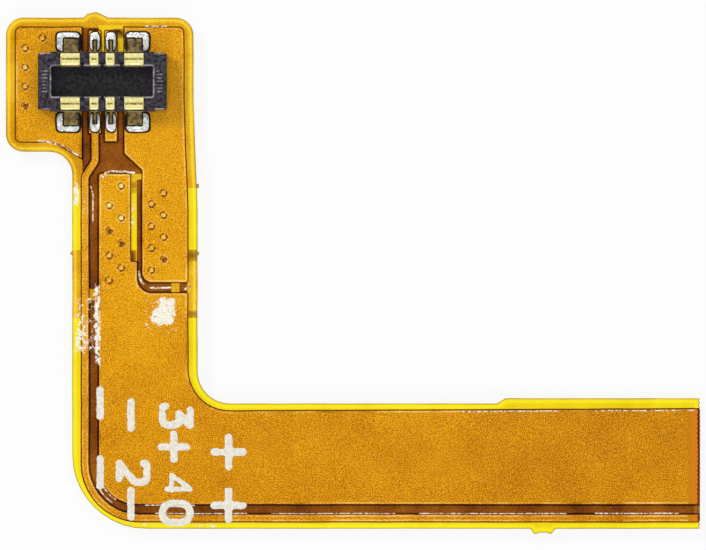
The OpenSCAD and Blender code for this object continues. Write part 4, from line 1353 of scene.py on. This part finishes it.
# Print: white legend ink, laid over the film's relief
ink = {
    "stroke": 0.185, "height": 0.88, "width": 0.66, "thick": 0.013,
    "wobble": 0.016, "wobbleSize": 0.1, "step": 0.035, "edge": 0.022,
    "minus": 0.8, "smallPlus": 0.76, "largePlus": 0.86,
    "fourShare": 0.66,  # the four's strokes are thinner, so that its counter stays open
    "columns": (0.7, 1.47, 2.6, 3.91),  # right of the arm's left edge
    "bendSteps": 8,
    "nib": 0.46,  # how far a stroke's open end is drawn in, as a share of its width
    "margin": 0.2,
    "passes": 3,  # how often the grid's points are drawn to the edge
    "snap": 0.5, "most": 0.45, "keep": 0.15,  # shares of a step: pulled from, moved by, kept within
    "probe": 1e-3,
    "least": 0.004,
    "round": 0.9,  # below 1 the ink's edge keeps some thickness
    "bed": 0.004,  # how far the ink sinks into the film
    "grain": 0.06, "grainShare": 0.25,
    "sharp": 60.0,
}
inkH = (ink["height"] - ink["stroke"]) / 2
inkW = (ink["width"] - ink["stroke"]) / 2
inkR = 0.8 * inkW
figureTwo = [(-inkW, inkH / 2, 0), (-inkW, inkH, inkR), (inkW, inkH, inkR), (inkW, inkH / 8, inkR),
             (-inkW, -inkH, 0.01), (inkW, -inkH, 0)]
figureThree = [(-inkW, inkH, 0), (inkW, inkH, 0.01), (-inkW / 5, inkH / 5, 0.01), (inkW, inkH / 5, inkR),
               (inkW, -inkH, inkR), (-inkW, -inkH, inkR), (-inkW, -inkH / 2, 0)]
figureFour = [(inkW, -inkH / 3, 0), (-inkW, -inkH / 3, 0.01), (inkW / 2, inkH, 0), (inkW / 2, -inkH, 0)]


def turnedRight(line):
    return [(y, -x, r) for x, y, r in line]


def zeroLine():
    turn = np.linspace(-math.pi / 2, 1.5 * math.pi, 37)
    side = inkH - inkW
    return [(inkW * math.cos(t), math.copysign(side, math.sin(t)) + inkW * math.sin(t), 0) for t in turn]


# Every stroke's centre line, where it lies, with its width's share of the full stroke
def markLines():
    def bar(length):
        return [(0, -length / 2, 0), (0, length / 2, 0)]

    a, b, c, d = ink["columns"]
    marks = [(x, y, bar(ink["minus"]), 1.0) for x, y in ((a, 3.14), (a, 1.41), (b, 2.85), (b, 0.63))]
    marks += [(b + 0.05, 1.4, turnedRight(figureTwo), 1.0), (c, 2.83, turnedRight(figureThree), 1.0),
              (c, 1.11, turnedRight(figureFour), ink["fourShare"]), (c, 0.395, turnedRight(zeroLine()), 1.0)]
    for x, y, key in ((c - 0.06, 2.05, "smallPlus"), (d, 1.92, "largePlus"), (d, 0.59, "largePlus")):
        marks += [(x, y, bar(ink[key]), 1.0), (x, y, turnedRight(bar(ink[key])), 1.0)]
    left, low = film["armLeft"], film["tailBottom"]
    return [([(left + x + p, low + y + q, r) for p, q, r in line], share) for x, y, line, share in marks]


# A centre line as plain points, with its bends rounded and its open ends drawn in by the nib
def softLine(line):
    line = resampled(bentLine(line, ink["bendSteps"]), ink["step"], closed=False)
    if np.linalg.norm(line[0] - line[-1]) < ink["step"]:
        return line
    cut = max(1, round(ink["nib"] * ink["stroke"] / np.linalg.norm(line[1] - line[0])))
    return line[cut:-cut]


# Distance to the nearest stroke's edge
def lineDistance(spots, lines):
    gaps = [segmentDistance(spots, line[:-1], line[1:]) - share * ink["stroke"] / 2 for line, share in lines]
    return np.min(gaps, axis=0)


# Cells of a fine grid inside the strokes, drawn onto the strokes' uneven edges
def makePrint():
    lines = [(softLine(line), share) for line, share in markLines()]
    everything = np.vstack([line for line, _ in lines])
    step, probe = ink["step"], ink["probe"]
    low = everything.min(0) - ink["margin"]
    nx, ny = np.ceil((everything.max(0) + ink["margin"] - low) / step).astype(int) + 1
    gx, gy = np.meshgrid(low[0] + step * np.arange(nx), low[1] + step * np.arange(ny))
    spots = np.column_stack([gx.ravel(), gy.ravel()])

    def field(p):
        edge = ink["wobble"] * softNoise(p, ink["wobbleSize"], 5.0)
        edge += 0.6 * ink["wobble"] * softNoise(p, ink["wobbleSize"] * 3, 9.0)
        return lineDistance(p, lines) - edge

    value = field(spots)
    inside = value < ink["least"]
    for _ in range(ink["passes"]):
        slope = np.column_stack([field(spots + way) - value for way in ([probe, 0], [0, probe])]) / probe
        size = np.maximum((slope ** 2).sum(1), 0.2)
        pulled = np.abs(value) < ink["snap"] * step
        shift = np.where(pulled[:, None], slope * (value / size)[:, None], 0)
        spots = spots - np.clip(shift, -ink["most"] * step, ink["most"] * step)
        value = field(spots)
    kept = inside | (np.abs(value) < ink["keep"] * step)
    cells = []
    for a in (j * nx + i for j in range(ny - 1) for i in range(nx - 1)):
        good = [c for c in (a, a + 1, a + nx + 1, a + nx) if kept[c]]
        if len(good) > 2:
            cells.append(good[:3])
        if len(good) == 4:
            cells.append((good[0], good[2], good[3]))
    xy, tris = compact(spots, np.array(cells))
    depth = np.clip(-field(xy) / ink["edge"], 0, 1)
    ground = levels["front"] + faceHeight(xy, 1)
    grain = 1 + ink["grainShare"] * softNoise(xy, ink["grain"], 2.0)
    thick = ink["thick"] * np.sqrt(1 - (1 - depth) ** 2 * ink["round"]) * grain
    verts, faces = sheet(xy, tris, ground + thick, ground - ink["bed"])
    return makeMesh("printMarks", verts, faces, [legendInk], sharp=ink["sharp"])


place(makePrint(), "legend_ink", "print_marks")
print("print done")

# Beads of bonding sheet squeezed out where the stiffeners end
bead = {
    "spots": [(2.36, -2.6, 0.045), (-0.775, -4.28, 0.05), (2.355, -4.29, 0.045), (2.33, -5.88, 0.03)],
    "height": 0.24,  # of their middle above the floor
    "rise": 0.05,
    "stretch": 1.2,  # longer along the edge than across it
    "lump": 0.25, "lumpSize": 1.3,  # shares of a bead
}


def makeBeads():
    mesh = bmesh.new()
    for i, (x, y, r) in enumerate(bead["spots"]):
        for v in bmesh.ops.create_icosphere(mesh, subdivisions=3, radius=1.0)["verts"]:
            v.co += v.normal * bead["lump"] * noise.noise(v.co * bead["lumpSize"] + Vector((i * 5.0, 0, 0)))
            spot = x + v.co.x * r, y + v.co.y * r * bead["stretch"], bead["height"] + v.co.z * bead["rise"]
            v.co = Vector(spot) * metre
    data = bpy.data.meshes.new("bondBeads")
    mesh.to_mesh(data)
    mesh.free()
    data.materials.append(bondSheet)
    data.shade_smooth()
    return addObject("bondBeads", data)


place(makeBeads(), "bonding_sheet")

# The CAD's own pieces that stay
carried = [
    (copperFoil, "head_copper", "positive_copper", "main_copper", "sense_copper", "signal_pad_1",
     "signal_pad_2", "signal_pad_3", "back_negative_copper", "back_positive_copper",
     "head_vias", "negative_vias", "positive_vias"),
    (polyimideBoard, "head_stiffener", "arm_stiffener"),
    (bondSheet, "head_bond", "arm_bond"),
]
for material, *names in carried:
    for slot in (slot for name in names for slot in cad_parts[name].material_slots):
        slot.material = material
print("carried-over nodes dressed")


# Floor and light
stage = {
    "floorSize": 400.0,  # mm
    "paper": "#f4f4f4",
    "white": "#ffffff",
    "glowShare": 0.88,  # how much of its own light the paper adds for the eye
    "worldStrength": 0.35,
    # name, direction from the part, distance and size in mm, power in watts
    "lamps": [
        ("overhead", (0.05, 0.1, 1.0), 320, 130, 0.045),
        ("keyLeft", (-1.0, 0.75, 1.1), 300, 90, 0.34),
        ("fillTop", (0.35, 1.0, 1.1), 300, 90, 0.12),
        ("fillLow", (-0.2, -1.0, 1.0), 300, 90, 0.17),
        ("fillRight", (1.0, -0.7, 1.3), 300, 90, 0.13),
    ],
}


def makeFloor():
    s = stage["floorSize"] / 2
    verts = [(-s, -s, 0), (s, -s, 0), (s, s, 0), (-s, s, 0)]
    material, tree, shader = newMaterial("whitePaper")
    values = {"Base Color": linear(stage["paper"]), "Roughness": 0.9, "Specular IOR Level": 0.0}
    for key, value in values.items():
        shader.inputs[key].default_value = value
    glow = addNode(tree, "Emission", {"Color": linear(stage["white"]), "Strength": 1.0})
    ray = addNode(tree, "LightPath").outputs
    seen = addNode(tree, "Math", {0: ray["Is Camera Ray"], 1: ray["Is Glossy Ray"]}, operation="MAXIMUM")
    share = addNode(tree, "Math", {0: seen.outputs[0], 1: stage["glowShare"]}, operation="MULTIPLY")
    mix = addNode(tree, "MixShader", {
        0: share.outputs[0], 1: shader.outputs["BSDF"], 2: glow.outputs["Emission"]})
    output = next(n for n in tree.nodes if n.type == "OUTPUT_MATERIAL")
    tree.links.new(mix.outputs[0], output.inputs["Surface"])
    floor = makeMesh("floor", verts, [(0, 1, 2, 3)], [material])


def makeLamp(name, direction, distance, size, power):
    data = bpy.data.lights.new(name, "AREA")
    data.shape = "DISK"
    data.size = size * metre
    data.energy = power
    lamp = addObject(name, data)
    centre = Vector((*cameraView["centre"], 0)) * metre
    lamp.location = centre + Vector(direction).normalized() * distance * metre
    lamp.rotation_euler = (centre - lamp.location).to_track_quat("-Z", "Y").to_euler()


scene.world = bpy.data.worlds.new("world")
scene.world.use_nodes = True
background = scene.world.node_tree.nodes["Background"]
background.inputs["Color"].default_value = linear(stage["white"])
background.inputs["Strength"].default_value = stage["worldStrength"]
makeFloor()
for row in stage["lamps"]:
    makeLamp(*row)

print("materials and light done")
